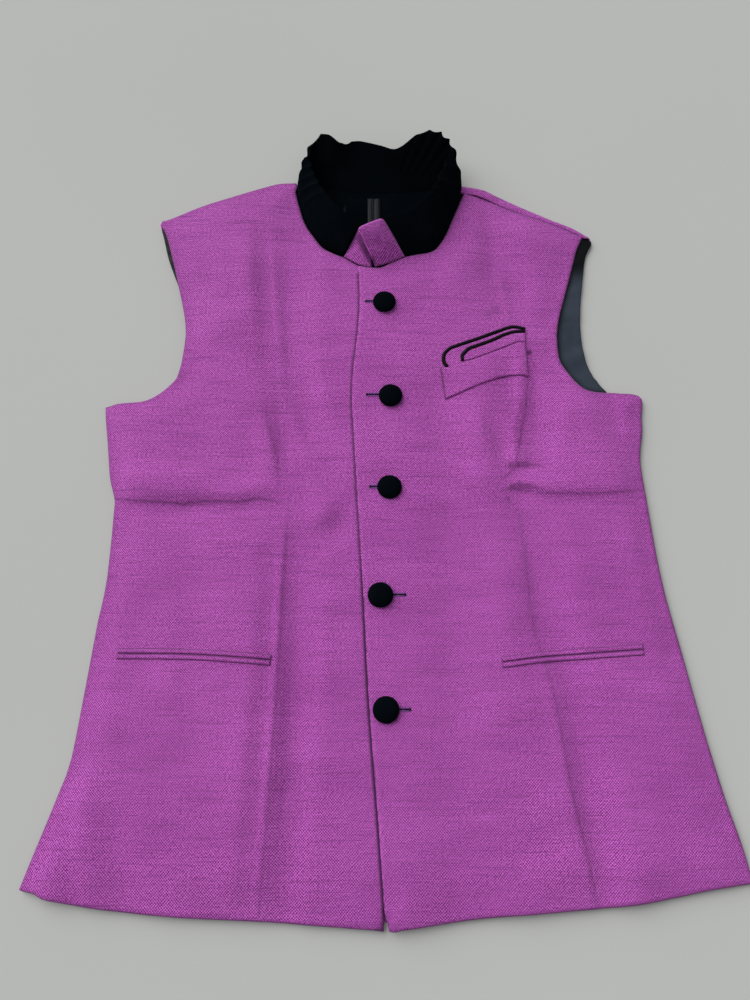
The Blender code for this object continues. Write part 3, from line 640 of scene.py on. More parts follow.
# %% Fold lines and their sections
LONG_OFFSETS = (-90, -45, -25, -14, -8, -3, 0, 3, 8, 14, 25, 45, 90)    # first and last are 0 high
SHORT_OFFSETS = (-34, -20, -10, -4, 0, 4, 10, 20, 34)
# the second column is how much painted shade the fold's valley gets
LONG_FOLDS = [  # name, how dark its valley is, line, sections
    ("upper right side", 0.1,
     [(-124, 705), (-120.9, 689.5), (-118.6, 658), (-114.1, 597), (-109.2, 550), (-104.1, 494),
      (-98.8, 429), (-95.5, 390), (-94, 376)],
     [[2.3, 3.5, 0.4, -1.0, -1.2, -0.8, -1.3, -2.3, -3.0, -2.7, -0.7],
      [1.9, 1.3, -0.8, -1.3, -1.4, -1.0, -1.4, -2.9, -3.2, -2.2, -0.4],
      [2.1, 1.7, 0.6, -0.2, -1.3, -1.2, -1.4, -1.9, -2.0, -2.4, -0.3]]),
    ("lower right side", 0.21,
     [(-92, 377), (-92, 363), (-94, 309), (-95, 272), (-96, 217), (-99, 132), (-105, 12),
      (-107, -25)],
     [[2.8, 2.8, 1.1, 0.6, 1.2, -0.1, -1.5, -2.7, -3.3, -2.7, 0.3],
      [1.9, 4.1, 2.4, 1.8, 2.6, 2.1, 1.0, -1.4, -3.4, -3.6, 0.0],
      [1.1, 3.0, 1.8, 1.3, 2.0, 1.4, 0.6, -1.1, -3.0, -4.2, -1.6]]),
    ("waist right side", 0.47,
     [(-292, 374), (-260, 370), (-234, 367.5), (-203, 365.3), (-193, 364.2), (-184, 365.8),
      (-163, 366.5), (-141, 365.4), (-133, 366.5), (-124, 368.8), (-115, 368.2), (-100, 365.2),
      (-88, 360)],
     [[-0.4, -1.0, -2.4, -3.0, -2.5, -1.2, -0.5, 0.7, 1.9, 2.8, 0.6],
      [0.4, -0.6, -2.4, -3.5, -3.3, -1.7, 0.2, 2.1, 3.2, 3.6, 0.1],
      [0.8, -0.1, -0.7, -1.5, -0.6, 1.3, 2.7, 4.5, 4.0, 1.2, -0.8]]),
    ("waist left side", 0.28,
     [(108, 380), (130, 378), (149, 375.5), (187, 374), (216, 375), (247, 379), (275, 384)],
     [[0.2, -0.2, -1.6, -2.7, -2.1, -0.6, 0.8, 1.6, 0.9, -0.5, -1.2],
      [0.0, -0.9, -1.4, -1.4, -0.7, 0.4, 1.5, 2.2, 2.3, 2.5, 2.1]]),
    ("upper left side", 0.0,
     [(98, 715), (104, 690), (112, 646), (117, 600), (124, 560), (134, 540)],
     [[1.6, 2.0, 1.7, 0.5, -0.7, -1.4, -2.0, -1.8, -0.7, 0.8, 2.0],
      [4.1, 3.0, 1.1, -0.3, -1.1, -1.5, -1.3, -1.5, -2.8, -2.7, 0.0]]),
    ("pocket end", 0.26,
     [(143, 548), (144.5, 520), (144, 505), (141.5, 472), (135, 440), (128, 410), (121, 385)],
     [[1.8, -0.2, -0.3, 1.4, 0.7, -0.1, -1.0, -2.1, -1.2, 0.8, 3.2],
      [3.4, 0.6, 0.1, 0.6, -0.1, -1.2, -2.2, -2.7, -3.0, -1.0, 3.2]]),
    ("lower left side", 0.21,
     [(119, 385), (125, 368), (129, 338), (131.5, 300), (132.5, 272), (136, 240), (144, 210),
      (150, 182), (155, 144.5), (160.5, 100), (169, 53), (173, 21), (178, -25)],
     [[1.3, 2.7, 2.2, 0.9, -0.4, -1.3, -2.4, -3.4, -3.5, -2.8, 1.3],
      [2.4, 1.8, 0.7, 0.6, 0.6, -0.1, -0.8, -1.9, -3.0, -3.0, -0.7],
      [-0.1, 1.2, 2.0, 2.3, 2.0, 0.5, -0.9, -2.7, -3.4, -2.0, 0.5]]),
]
SHORT_FOLDS = [  # the same, with sections at the short offsets
    ("middle diagonal", 0.0,
     [(-100, 510), (-94.8, 485), (-83.8, 450), (-71.1, 419), (-70, 390)],
     [[-1.7, -0.5, -0.3, -1.2, -2.0, -2.0, -1.6]]),
    ("middle patch", 0.1,
     [(-104, 322), (-85, 334), (-59.8, 344), (-47.7, 354), (-30, 366)],
     [[-0.3, -0.5, -0.6, -0.6, -0.4, 0.1, 0.2],
      [-1.7, -1.6, 0.0, 1.3, 2.2, 2.5, 0.7]]),
    ("right arc", 0.0,
     [(15, 394), (45.4, 386), (72, 378), (90.5, 358), (118, 340)],
     [[0.8, 0.0, -0.5, -0.6, -0.3, 0.2, 0.8],
      [0.8, 1.3, 0.9, 0.5, 0.1, 1.4, 2.5]]),
    ("upper arc", 0.0,
     [(45, 580), (74, 595), (90, 607), (107.5, 624), (122, 648)],
     [[-0.6, -1.0, -0.9, -0.6, -0.1, 0.6, 0.9]]),
    ("blob", 0.1,
     [(90, 460), (106, 429), (109.8, 403), (116, 368)],
     [[2.1, 2.8, 1.9, 0.9, 0.0, -0.7, 0.9]]),
    ("side vertical", 0.0,
     [(212, 520), (219.7, 472), (222.8, 429), (226, 370)],
     [[0.4, -0.2, -1.0, -1.6, -2.2, -2.2, -0.5]]),
    ("hem corner", 0.0,
     [(-242, 140), (-238, 100), (-237, 61), (-229, 30), (-222, -25)],
     [[1.8, 1.4, 0.4, -0.2, -0.9, -1.3, -0.8]]),
    ("left mid vertical", 0.0,
     [(-192, 350), (-185, 280), (-178, 200), (-170, 120), (-165, 50)],
     [[0.7, 0.7, 0.2, 0.0, -0.2, -0.5, -0.5]]),
    ("dent a", 0.35,
     [(112, 388), (121, 396), (131, 405), (145, 404), (158, 400)],
     [[-0.2, -1.0, -0.7, 0.9, 1.5, 1.3, 0.1]]),
    ("dent b", 0.35,
     [(108, 376), (118, 378), (130, 381), (143, 380), (156, 378)],
     [[-0.8, -2.6, -2.8, -1.6, 0.1, -0.4, -0.7]]),
    ("pinch", 0.2,
     [(-122, 470), (-115.2, 445), (-107.3, 419), (-103.2, 388), (-102, 372)],
     [[-0.2, 2.1, 2.6, 1.4, -0.5, -1.0, -0.3]]),
    ("pinch right", 0.1,
     [(-92, 372), (-84, 380), (-76, 385), (-60, 382), (-40, 370)],
     [[0.5, 0.1, 0.6, -0.4, -1.3, -1.9, -1.4]]),
]
print(f"{len(LONG_FOLDS)} long folds and {len(SHORT_FOLDS)} short ones")

# %% [markdown]
# ### From sections to heights
#
# A place takes its height from the nearest part of each fold's line, which says how far along
# the fold and how far to its side the place lies. Between the folds cloth is never quite flat,
# so a few slow waves are added, and puckers along the side seams.

# %% From sections to heights
WAVES = [  # height, wave length, direction in degrees, phase
    (0.30, 96, 78, 0.3), (0.26, 71, 101, 1.9), (0.22, 118, 12, 2.6), (0.18, 57, 64, 4.1),
    (0.16, 43, 118, 0.9), (0.12, 35, 88, 5.2), (0.10, 28, 20, 3.3),
]
PUCKER, PUCKER_LENGTH, PUCKER_REACH = 0.30, 17.0, 16.0    # along the side seams
FINE_FROM_EDGE = 12.0    # the waves and puckers are full this far inside an edge
VALLEY_WIDTH, END_SHARE = 2.2, 8.0    # a valley's dark fades over an eighth at both ends


def smooth_path(path, step=6.0):
    """An open smooth curve through a few points."""
    knots = np.array(path, float)
    knots = np.vstack([knots[0] * 2 - knots[1], knots, knots[-1] * 2 - knots[-2]])
    made = [knots[1]]
    for a, b, c, d in zip(knots, knots[1:], knots[2:], knots[3:]):
        count = max(1, round(np.linalg.norm(c - b) / step))
        made += [hermite(b, (c - a) * 0.5, c, (d - b) * 0.5, t)
                 for t in np.arange(1, count + 1) / count]
    return np.array(made)


def smooth_steps(knots, values, x):
    """A smooth curve through values at uneven knots, 0 at and past both ends."""
    knots, values = np.asarray(knots, float), np.array([0.0, *values, 0.0])
    slopes = np.zeros(len(knots))
    slopes[1:-1] = (values[2:] - values[:-2]) / (knots[2:] - knots[:-2])
    i = np.clip(np.searchsorted(knots, x) - 1, 0, len(knots) - 2)
    wide = knots[i + 1] - knots[i]
    t = np.clip((x - knots[i]) / wide, 0.0, 1.0)
    return hermite(values[i], wide * slopes[i], values[i + 1], wide * slopes[i + 1], t)


def folded(points):
    """Height that the folds add at each point, and the painted shade of their valleys there."""
    height, dark = np.zeros(len(points)), np.zeros(len(points))
    for offsets, folds in ((LONG_OFFSETS, LONG_FOLDS), (SHORT_OFFSETS, SHORT_FOLDS)):
        for _, valley, line, sections in folds:
            path = smooth_path(line)
            away, left, along = nearest(points, path[:-1], path[1:])
            across = np.where(left, away, -away)
            places = np.linspace(0.0, 1.0, len(sections) + 2)
            for section, share in zip(sections, np.eye(len(sections))):
                height += (smooth_steps(places, share, along)
                           * smooth_steps(offsets, section, across))
            ends = ease(along * END_SHARE) * ease((1.0 - along) * END_SHARE)
            # painted shade along the valley, fading out at both ends
            dark = np.maximum(dark, valley * ends * fade(away, VALLEY_WIDTH))
    return height, dark


def slow_waves(points):
    """The unevenness of cloth between its folds, in millimetres."""
    x, y = points[:, 0], points[:, 1]
    total = np.zeros(len(points))
    for height, length, direction, phase in WAVES:
        turn = math.radians(direction)
        along = x * math.cos(turn) + y * math.sin(turn)
        bend = 9.0 * np.sin((x * math.sin(turn) - y * math.cos(turn)) * 2 * math.pi / 210.0)
        total += height * np.sin((along + bend) * 2 * math.pi / length + phase)
    return total


def outer_face(points):
    """Height of the fronts' outer face over the surface that the jacket lies on."""
    x, y = points[:, 0], points[:, 1]
    inside = nearest(points, *all_borders)[0]
    from_side = nearest(points, *side_borders)[0]
    from_hem = nearest(points, *hem_borders)[0]
    off_side = ease(from_side / SIDE_REACH)
    lifted = EDGE_RISE * off_side + PUFF * ease(inside / PUFF_REACH)
    lifted += CENTRE_RISE * ease((CENTRE_REACH - np.abs(x - CENTRE_X)) / CENTRE_SLOPE)
    lifted += fade(from_hem, HEM_LIFT_DEPTH) * sum(
        rise * fade(np.abs(x - at), reach) for at, reach, rise in HEM_LIFTS)
    lifted += folded(points)[0] * np.maximum(off_side, FOLD_AT_SIDE)
    pucker = np.sin((y + 0.35 * x) * 2 * math.pi / PUCKER_LENGTH)
    fine = slow_waves(points) + PUCKER * pucker * fade(from_side, PUCKER_REACH)
    lifted += fine * ease(inside / FINE_FROM_EDGE)
    return CLOTH + GAP + CLOTH + np.maximum(lifted, 0.0)


def under_lap(points):
    """The right front's outer face, which dips to pass under the left one."""
    sunk = ease((points[:, 0] - LAP_DIP_START) / (LAP_DIP_END - LAP_DIP_START))
    return outer_face(points) - sunk * (CLOTH + LAP_GAP)


breast = np.array([[110.0, 440.0]])
print(f"the left breast stands {outer_face(breast)[0]:.1f} mm over the surface")

# %% [markdown]
# ## Cloth panels
#
# A panel is a sheet cut along its outline, so it is made the same way: the outline, a ring just
# inside it where the edge rolls over, and an even grid of triangles between. Every point takes
# its height from the form, and the sheet then gets the thickness of the cloth. The UV map is
# the flat pattern, so the weave runs straight through all folds, as it does in woven cloth.

# %% Cloth panels
ROLL_RING = 1.3          # the ring where the edge starts to roll over
ROLL_DROP = 0.75
CDT_INSIDE = 1           # the triangulation keeps what is inside the outline


def rows_beside(path, offsets, step=2.0):
    """Points in rows beside an open path, at offsets to its left."""
    path = np.asarray(path)[:, :2]
    along = np.diff(path, axis=0)
    lengths = np.linalg.norm(along, axis=1)
    passed = np.concatenate([[0.0], np.cumsum(lengths)])
    places = np.arange(step / 2, passed[-1], step)
    middle = np.column_stack([np.interp(places, passed, path[:, k]) for k in (0, 1)])
    steps = np.clip(np.searchsorted(passed, places) - 1, 0, len(along) - 1)
    leftward = np.column_stack([-along[:, 1], along[:, 0]])[steps] / lengths[steps][:, None]
    return np.vstack([middle + leftward * offset for offset in offsets])


def sheet_between(rim, spacing, extra=None):
    """Points and anticlockwise triangles that fill an outline, with a ring inside its edge and
    extra points where the cloth needs them."""
    ring = grown(rim, -ROLL_RING)[:, :2]
    low, high = rim[:, :2].min(axis=0), rim[:, :2].max(axis=0)
    row = spacing * math.sqrt(0.75)
    across, up = np.meshgrid(np.arange(low[0], high[0], spacing), np.arange(low[1], high[1], row))
    across = across + spacing / 2 * (np.arange(len(across)) % 2)[:, None]
    grid = np.column_stack([across.ravel(), up.ravel()])

    def inside(places, least):
        places = places[within(rim, places)]
        return places[from_rim(places, rim) > least]

    grid = inside(grid, ROLL_RING + spacing * 0.6)
    ring = inside(ring, ROLL_RING * 0.8)
    if extra is not None:
        extra = inside(extra, ROLL_RING * 1.5)
        size = spacing * 0.55
        taken = {tuple(cell) for cell in np.round(extra / size).astype(int)}
        free = [tuple(cell) not in taken for cell in np.round(grid / size).astype(int)]
        grid = np.vstack([grid[np.array(free)], extra])
    flat = [Vector(p) for p in np.vstack([rim[:, :2], ring, grid])]
    count = len(rim)
    edges = [(i, (i + 1) % count) for i in range(count)]
    points, _, faces, *_ = delaunay_2d_cdt(flat, edges, [], CDT_INSIDE, 1e-6)
    points = np.array([(p.x, p.y) for p in points])
    turned = []
    for a, b, c in faces:
        (ax, ay), (bx, by), (cx, cy) = points[a], points[b], points[c]
        upright = (bx - ax) * (cy - ay) - (by - ay) * (cx - ax) > 0
        turned.append((a, b, c) if upright else (a, c, b))
    return points, turned


def flat_pattern(piece):
    """A UV map whose unit is the metre, laid out as the cloth is."""
    mesh = piece.data
    if not mesh.uv_layers:
        mesh.uv_layers.new(name="pattern")
    corners = np.empty(len(mesh.loops), int)
    mesh.loops.foreach_get("vertex_index", corners)
    mesh.uv_layers[0].data.foreach_set("uv", places_of(piece)[corners][:, :2].ravel())


def cloth_panel(name, rim, height, spacing, thick, drop=ROLL_DROP, crevice=None, extra=None,
                shade="crevice"):
    """A sheet on a form, with rolled edges and the thickness of its cloth."""
    points, faces = sheet_between(rim, spacing, extra)
    heights = height(points) - drop * fade(from_rim(points, rim), ROLL_RING)
    piece = new_piece(name, np.column_stack([points, heights]), faces)
    flat_pattern(piece)
    # painted light: the attribute holds painted shade on most pieces and painted sheen on the neck
    # facing
    if crevice is not None:
        shading = piece.data.attributes.new(shade, "FLOAT", "POINT")
        shading.data.foreach_set("value", crevice(points))
    wall = piece.modifiers.new("wall", "SOLIDIFY")
    wall.thickness = thick * MM
    wall.offset = -1.0
    apply_modifiers(piece)
    return piece


print(f"a panel's edge rolls over within {ROLL_RING} mm and drops {ROLL_DROP} mm")

# %% [markdown]
# ### The two fronts
#
# Cloth is dark where little light gets in: in a sharp fold, at an edge, under the lap. That shade
# is painted into the cloth's colour through an attribute, and rows of extra points follow such
# places, so that each is as narrow as on real cloth.

# %% The fronts
FRONT_SPACING = 2.6
FRONT_WALL = 1.5
LAP_X, LAP_SPAN = 45.0, (6.0, 618.0)    # the lapped edge is nearer the middle, in this span
# painted shadow of the lapped edge, on the front that lies beneath it
LAP_SHADOW = 3.0         # width of the dark line beside the lapped edge
LAP_DARK, LAP_DARKER = 0.68, 0.25       # how dark it is, and what is added below
LAP_DARKER_FROM, LAP_DARKER_SPAN = 330.0, 60.0    # this height, over so many millimetres
EDGE_SHADOWS = ((0.22, 5.0), (0.3, 1.6))    # darkness and width
LAP_ROWS = (0.2, 0.9, 1.6, 2.4, 3.4)
VALLEY_ROWS = (-1.6, -0.7, 0.0, 0.7, 1.6)
DARK_VALLEY = 0.2        # a valley as dark as this gets its own rows of points
# spots of painted shade: at the end of the welt, in the dents and over the pocket
SHADE_SPOTS = [            # x, y, reach and darkness
    (147.0, 524.5, 5.5, 0.9),                                             # end of the welt
    (122, 403, 6, 0.5), (129, 404.5, 6, 0.45), (138, 404.5, 7, 0.3),      # upper dent
    (122.5, 381.5, 5, 0.5), (129.5, 383, 6, 0.45), (138, 382, 6, 0.4),    # lower dent
    (117.5, 369, 4, 0.5),                                                 # where they meet
    (115.5, 573, 9, 0.3), (107, 568, 9, 0.25)]                            # over the pocket

lap_edge = front_outlines["front_left"]
lap_edge = lap_edge[(np.abs(lap_edge[:, 0]) < LAP_X) & (lap_edge[:, 1] > LAP_SPAN[0])
                    & (lap_edge[:, 1] < LAP_SPAN[1])]
lap_edge = lap_edge[np.argsort(lap_edge[:, 1])][:, :2]
fine_rows = np.vstack([rows_beside(lap_edge, LAP_ROWS, 1.6)] + [
    rows_beside(smooth_path(line), VALLEY_ROWS)
    for _, valley, line, _ in LONG_FOLDS + SHORT_FOLDS if valley > DARK_VALLEY] + [
    rows_beside([(x - reach, y), (x + reach, y)], np.arange(-reach, reach, 1.3), 1.3)
    for x, y, reach, _ in SHADE_SPOTS])


def front_painted_shade(points):
    """How much painted shade each point of a front gets: in fold valleys, at edges, beside the lap,
    in spots.
    """
    from_border = nearest(points, *all_borders)[0]
    from_lap, left, _ = nearest(points, lap_edge[:-1], lap_edge[1:])
    depth = LAP_DARK + LAP_DARKER * ease(
        (LAP_DARKER_FROM - points[:, 1]) / LAP_DARKER_SPAN)
    beside = np.where(left, depth * fade(from_lap - 0.8, LAP_SHADOW), 0.0)
    edge = sum(dark * fade(from_border, width) for dark, width in EDGE_SHADOWS)
    spots = [dark * fade(from_spot(points, x, y), reach) for x, y, reach, dark in SHADE_SPOTS]
    return np.maximum.reduce([folded(points)[1], beside, edge, *spots])


front_right, front_left = [
    dress(cloth_panel(name, front_outlines[node], form, FRONT_SPACING, FRONT_WALL,
                      crevice=front_painted_shade, extra=fine_rows), cloth, node)
    for name, node, form in (("right_front", "front_right", under_lap),
                             ("left_front", "front_left", outer_face))]

# %% [markdown]
# ## The back, its lining and what the openings show
#
# The back lies flat on the surface and carries everything. Little of it shows: its satin lining
# in the armholes, the facing behind the neck, and a turn of the shoulder seam. Each is laid on
# the solid below it, so its height is read from that solid.

# %% Heights read from the solids
UPPER = 0.3              # how much the normal of an upper face points up
SETTLING = 4             # passes that find the nearest place of a face beside a point


def top_of(*pieces):
    """A function that reads the height of the highest upper face of some pieces, and of the
    nearest place on one where there is none below a point."""
    places, faces = [], []
    for piece in pieces:
        first = len(places)
        places += [vert.co for vert in piece.data.vertices]
        faces += [[first + i for i in face.vertices] for face in piece.data.polygons
                  if face.normal.z > UPPER]
    tree = BVHTree.FromPolygons(places, faces)
    level = sum(place.z for place in places) / len(places)

    def height(points):
        heights = []
        for x, y in to_frame(np.column_stack([points, np.zeros(len(points))]))[:, :2]:
            hit = tree.ray_cast(Vector((x, y, 1.0)), Vector((0, 0, -1)))[0]
            if hit is None:
                hit = Vector((x, y, level))
                for _ in range(SETTLING):
                    hit = tree.find_nearest(Vector((x, y, hit.z)))[0]
            heights.append(hit.z / MM)
        return np.array(heights)
    return height


def highest_near(height, points, reach):
    """The highest that a surface is at each point and a little to every side."""
    steps = ((0, 0), (reach, 0), (-reach, 0), (0, reach), (0, -reach))
    return np.max([height(points + np.array(step)) for step in steps], axis=0)


def mean_near(height, points, reach):
    """The mean height of a surface a little to seven sides of each point."""
    steps = [(reach * math.cos(turn), reach * math.sin(turn)) for turn in range(7)]
    return np.mean([height(points + np.array(step)) for step in steps], axis=0)


def edge_shade(rim, dark, width):
    """Dark along an outline where a seam is: painted shade in the seam's groove."""
    return lambda points: dark * fade(from_rim(points, rim), width)


middle_back = top_of(nodes["back"])(np.array([[0.0, 300.0]]))[0]
print(f"the solid back's upper face is {middle_back:.1f} mm over the surface")

# %% [markdown]
# ### Back and lining
#
# The back is one plain panel. Its lining is rolled a little over its edge at the armholes and is
# wrinkled there, and shade is painted on it where it goes in under the fronts, up at the shoulder
# and on the right.

# %% Back and lining
BACK_WALL = 1.8
back_rim = pulled(smooth_outline("back", 3.0), SHOULDER_TIP, HEM_TIP)
back = cloth_panel("back_panel", back_rim, top_of(nodes["back"]), 8.0, BACK_WALL, drop=0.2)
dress(back, cloth, "back")

LINING_WALL = 0.8
LINING_WRINKLE = 1.6     # times the slow waves of the fronts,
LINING_FINER = 1.7       # which are so many times finer here
LINING_SUNK = 0.3
ARMHOLE_X, ARMHOLE_SLOPE = 120.0, 40.0    # the wrinkles grow from here outwards
ARMHOLE_FOOT = ((208, 476), (226, 474), 24)
LINING_DARK = 0.92       # on the right, where it lies in the front's shadow
LINING_SHADES = ((0.25, 560.0, 80.0), (0.7, 608.0, 22.0))    # darkness, from this height, span
UNDER_DARK, UNDER_REACH = 0.75, 7.0
LINING_GROWTH = 3.2      # the lining is rolled over the back's edge
lining_top = top_of(nodes["back_lining"])


def wrinkled_lining(points):
    at_armholes = ease((np.abs(points[:, 0]) - ARMHOLE_X) / ARMHOLE_SLOPE)
    wrinkles = np.abs(slow_waves(points * LINING_FINER))
    return lining_top(points) - LINING_SUNK + LINING_WRINKLE * at_armholes * wrinkles


def lining_painted_shade(points):
    """Painted shade on the lining: darkest where it goes in under the fronts, up at the shoulder,
    and on the right in the front's shadow.
    """
    under = np.min([np.where(within(rim, points), 0.0, from_rim(points, rim))
                    for rim in front_outlines.values()], axis=0)
    shoulder = sum(dark * ease((points[:, 1] - start) / span)
                   for dark, start, span in LINING_SHADES)
    right_side = np.where(points[:, 0] < 0.0, LINING_DARK, 0.0)
    return np.maximum.reduce([UNDER_DARK * fade(under, UNDER_REACH), shoulder, right_side])


lining_rim = grown(smooth_outline("back_lining", RIM_STEP), LINING_GROWTH)
lining_rim = pulled(lining_rim, ARMHOLE_FOOT, SHOULDER_TIP)
lining = cloth_panel("lining", lining_rim, wrinkled_lining, 3.4, LINING_WALL, drop=0.3,
                     crevice=lining_painted_shade)
dress(lining, satin, "back_lining")

# %% [markdown]
# ### Facing and shoulder turn
#
# Behind the neck the facing is velvet, with a few streaks of painted sheen where its pile was
# brushed the other way. At the left shoulder the back is turned to the front, as a narrow strip
# past the seam.

# %% Facing and shoulder turn
FACING_WALL = 0.8
FACING_LOW, FACING_DROP = 694.0, 30.0    # below this it is cut deeper, to go in under the collar
FACING_TOP = 5.0                         # and it reaches this far up at the back of the neck,
FACING_HIGH, FACING_HALF = 705.0, 84.0   # above this height and within this of the middle
# streaks of painted sheen on the velvet
PILE_SHEEN_MARKS = [  # where the pile was brushed the other way: start, end, width, strength
    ((-46, 676), (-41, 706), 0.9, 0.5), ((-44, 690), (-43, 708), 0.7, 0.35),
    ((-50, 650), (-42, 672), 0.8, 0.5), ((-47, 648), (-44, 666), 0.7, 0.4),
]

facing_rim = smooth_outline("back_neck_facing", RIM_STEP)
facing_rim[:, 1] -= FACING_DROP * ease((FACING_LOW - facing_rim[:, 1]) / 14.0)
facing_rim[:, 1] += FACING_TOP * ease((facing_rim[:, 1] - FACING_HIGH) / 6.0) * ease(
    (FACING_HALF - np.abs(facing_rim[:, 0])) / 10.0)


def painted_pile_sheen(points):
    """How much painted sheen each point gets where the pile leans, for the velvet's finish."""
    marks = []
    for start, end, width, strength in PILE_SHEEN_MARKS:
        ends = np.array([start, end], float)
        away, _, along = nearest(points, ends[:1], ends[1:])
        thinned = np.sin(math.pi * np.clip(along, 0.05, 0.95))
        marks.append(strength * fade(away, width) * thinned)
    return np.maximum.reduce(marks)


sheen_rows = np.vstack([rows_beside((start, end), (-1.0, -0.5, 0.0, 0.5, 1.0), 1.2)
                       for start, end, _, _ in PILE_SHEEN_MARKS])
facing_top = top_of(nodes["back_neck_facing"])
facing = cloth_panel("neck_facing", facing_rim, lambda points: facing_top(points) + 0.2, 4.0,
                     FACING_WALL, drop=0.3, crevice=painted_pile_sheen, extra=sheen_rows,
                     shade="leaning")
dress(facing, velvet, "back_neck_facing")

SHOULDER_WALL = 1.4
TURN_GROWTH = 0.7
TURN_END, TURN_LONGER = 100.0, 5.0    # its end nearer than this goes in under the collar
shoulder_rim = grown(smooth_outline("back_shoulder_left", RIM_STEP), TURN_GROWTH)
shoulder_rim[:, 0] -= TURN_LONGER * ease((TURN_END - shoulder_rim[:, 0]) / 12.0)
# painted shade along the rim of the turn
shoulder = cloth_panel("shoulder_turn", shoulder_rim, top_of(nodes["back_shoulder_left"]), 2.2,
                       SHOULDER_WALL, crevice=edge_shade(shoulder_rim, 0.35, 1.6))
dress(shoulder, cloth, "back_shoulder_left")

# %% [markdown]
# ## Collar
#
# The stand collar is a stiffened band of velvet that leans back from the neck seam. Its copy of
# the solid is subdivided, so that the band bends smoothly and its edge is a soft fold, and then
# its ears are gathered into small scallops where the band was squeezed.

# %% Collar
def soft_copy(name, node, levels):
    """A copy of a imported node, subdivided into a smooth shape."""
    shape = merged_copy(node)
    mesh = bpy.data.meshes.new(name)
    shape.to_mesh(mesh)
    shape.free()
    piece = linked(name, mesh)
    take_up(piece)
    bpy.ops.object.mode_set(mode="EDIT")
    bpy.ops.mesh.select_all(action="SELECT")
    bpy.ops.mesh.tris_convert_to_quads(face_threshold=0.9, shape_threshold=0.9)
    bpy.ops.object.mode_set(mode="OBJECT")
    smooth = piece.modifiers.new("smooth", "SUBSURF")
    smooth.levels = smooth.render_levels = levels
    apply_modifiers(piece)
    flat_pattern(piece)
    return piece


EAR_MIDDLES = (math.radians(146), math.radians(34))    # seen from the middle of the neck
EAR_SPREAD = math.radians(42)
NECK_MIDDLE = (-4.0, 690.0)
SCALLOP_DEPTH = 2.0
COLLAR_LEVELS = 3
SCALLOPS_ROUND = 46      # gathers in a full turn
SCALLOP_SPAN = (8.0, 26.0)    # the gathers start at one height and are full at the other


def gather_ears(piece):
    """Pushes the collar's edge in and out in small scallops at both ears."""
    places = places_of(piece)
    spots = to_tailor(places)
    offset = spots[:, :2] - np.array(NECK_MIDDLE)
    turn = np.arctan2(offset[:, 1], offset[:, 0])
    at_ears = np.zeros(len(spots))
    for middle in EAR_MIDDLES:
        away = np.abs((turn - middle + math.pi) % (2 * math.pi) - math.pi)
        at_ears = np.maximum(at_ears, ease(1.6 * (1.0 - away / EAR_SPREAD)))
    high = ease((spots[:, 2] - SCALLOP_SPAN[0]) / (SCALLOP_SPAN[1] - SCALLOP_SPAN[0]))
    wander = turn * SCALLOPS_ROUND / 2 + 0.9 * np.sin(turn * 7.0)
    push = SCALLOP_DEPTH * (1.0 - 2.0 * np.abs(np.cos(wander))) * at_ears * high
    places[:, :2] += (push * MM)[:, None] * offset / np.linalg.norm(offset, axis=1)[:, None]
    piece.data.vertices.foreach_set("co", places.ravel())
    piece.data.update()


collar = soft_copy("stand_collar", "collar", COLLAR_LEVELS)
gather_ears(collar)
dress(collar, velvet, "collar")

# %% [markdown]
# ### Ends of the collar
#
# The collar's ends are turned over in the jacket's own cloth. The left end lies over the right
# one, and both are soft, with round corners. A dimple shows where they were pressed together.

# %% Ends of the collar
LOBE_WALL, LOBE_SPACING = 1.6, 1.3
LOBE_PUFF, LOBE_PUFF_REACH = 2.6, 12.0
LOBE_SOFTENING = 16      # passes that round the corners, which lie higher than
LOBE_ROUND_FROM = 10.0
LOBE_DIMPLES = [(-5.4, 642.0, 6.0, 1.6)]    # x, y, reach, depth
LOBE_PARTING = (-11.7, 629.0)               # the foot, where the ends part
# painted shade: at the parting, and on the right end beside the left one's rim
PARTING_DARK, OVERLAP_DARK, PARTING_SHADOW = 0.85, 0.7, 4.5


def rounded(rim):
    """An outline whose high corners are rounded, as they are where cloth is pressed."""
    soft = rim.copy()
    loose = ease((rim[:, 2] - LOBE_ROUND_FROM) / 8.0)[:, None]
    for _ in range(LOBE_SOFTENING):
        soft += loose * 0.5 * ((np.roll(soft, 1, axis=0) + np.roll(soft, -1, axis=0)) / 2 - soft)
    return soft


lobe_rims = {side: rounded(smooth_outline(f"collar_end_{side}", LOBE_SPACING))
             for side in ("left", "right")}


def lobe(side):
    rim = lobe_rims[side]
    above = top_of(nodes[f"collar_end_{side}"])

    def height(points):
        puff = LOBE_PUFF * ease(from_rim(points, rim) / LOBE_PUFF_REACH)
        heights = mean_near(above, points, 2.0) + puff
        for x, y, reach, depth in LOBE_DIMPLES:
            heights -= depth * fade(from_spot(points, x, y), reach)
        return heights

    # painted shade: dark at the parting, and on the lower end beside the upper one
    def crevice(points):
        dark = PARTING_DARK * fade(from_spot(points, *LOBE_PARTING), PARTING_SHADOW)
        if side == "right":
            other = lobe_rims["left"]
            beside = np.where(within(other, points), 0.0, from_rim(points, other))
            dark = np.maximum(dark, OVERLAP_DARK * fade(beside, PARTING_SHADOW))
        return dark

    return cloth_panel(f"collar_lobe_{side}", rim, height, LOBE_SPACING, LOBE_WALL, drop=1.1,
                       crevice=crevice)


lobes = {side: dress(lobe(side), cloth, f"collar_end_{side}") for side in ("right", "left")}

# %% [markdown]
# ## Pockets
#
# The breast pocket is a slanted welt with a folded square standing in it, whose edges are piped.
# The hip pockets are two narrow lips each, sewn from strips of the jacket's own cloth.

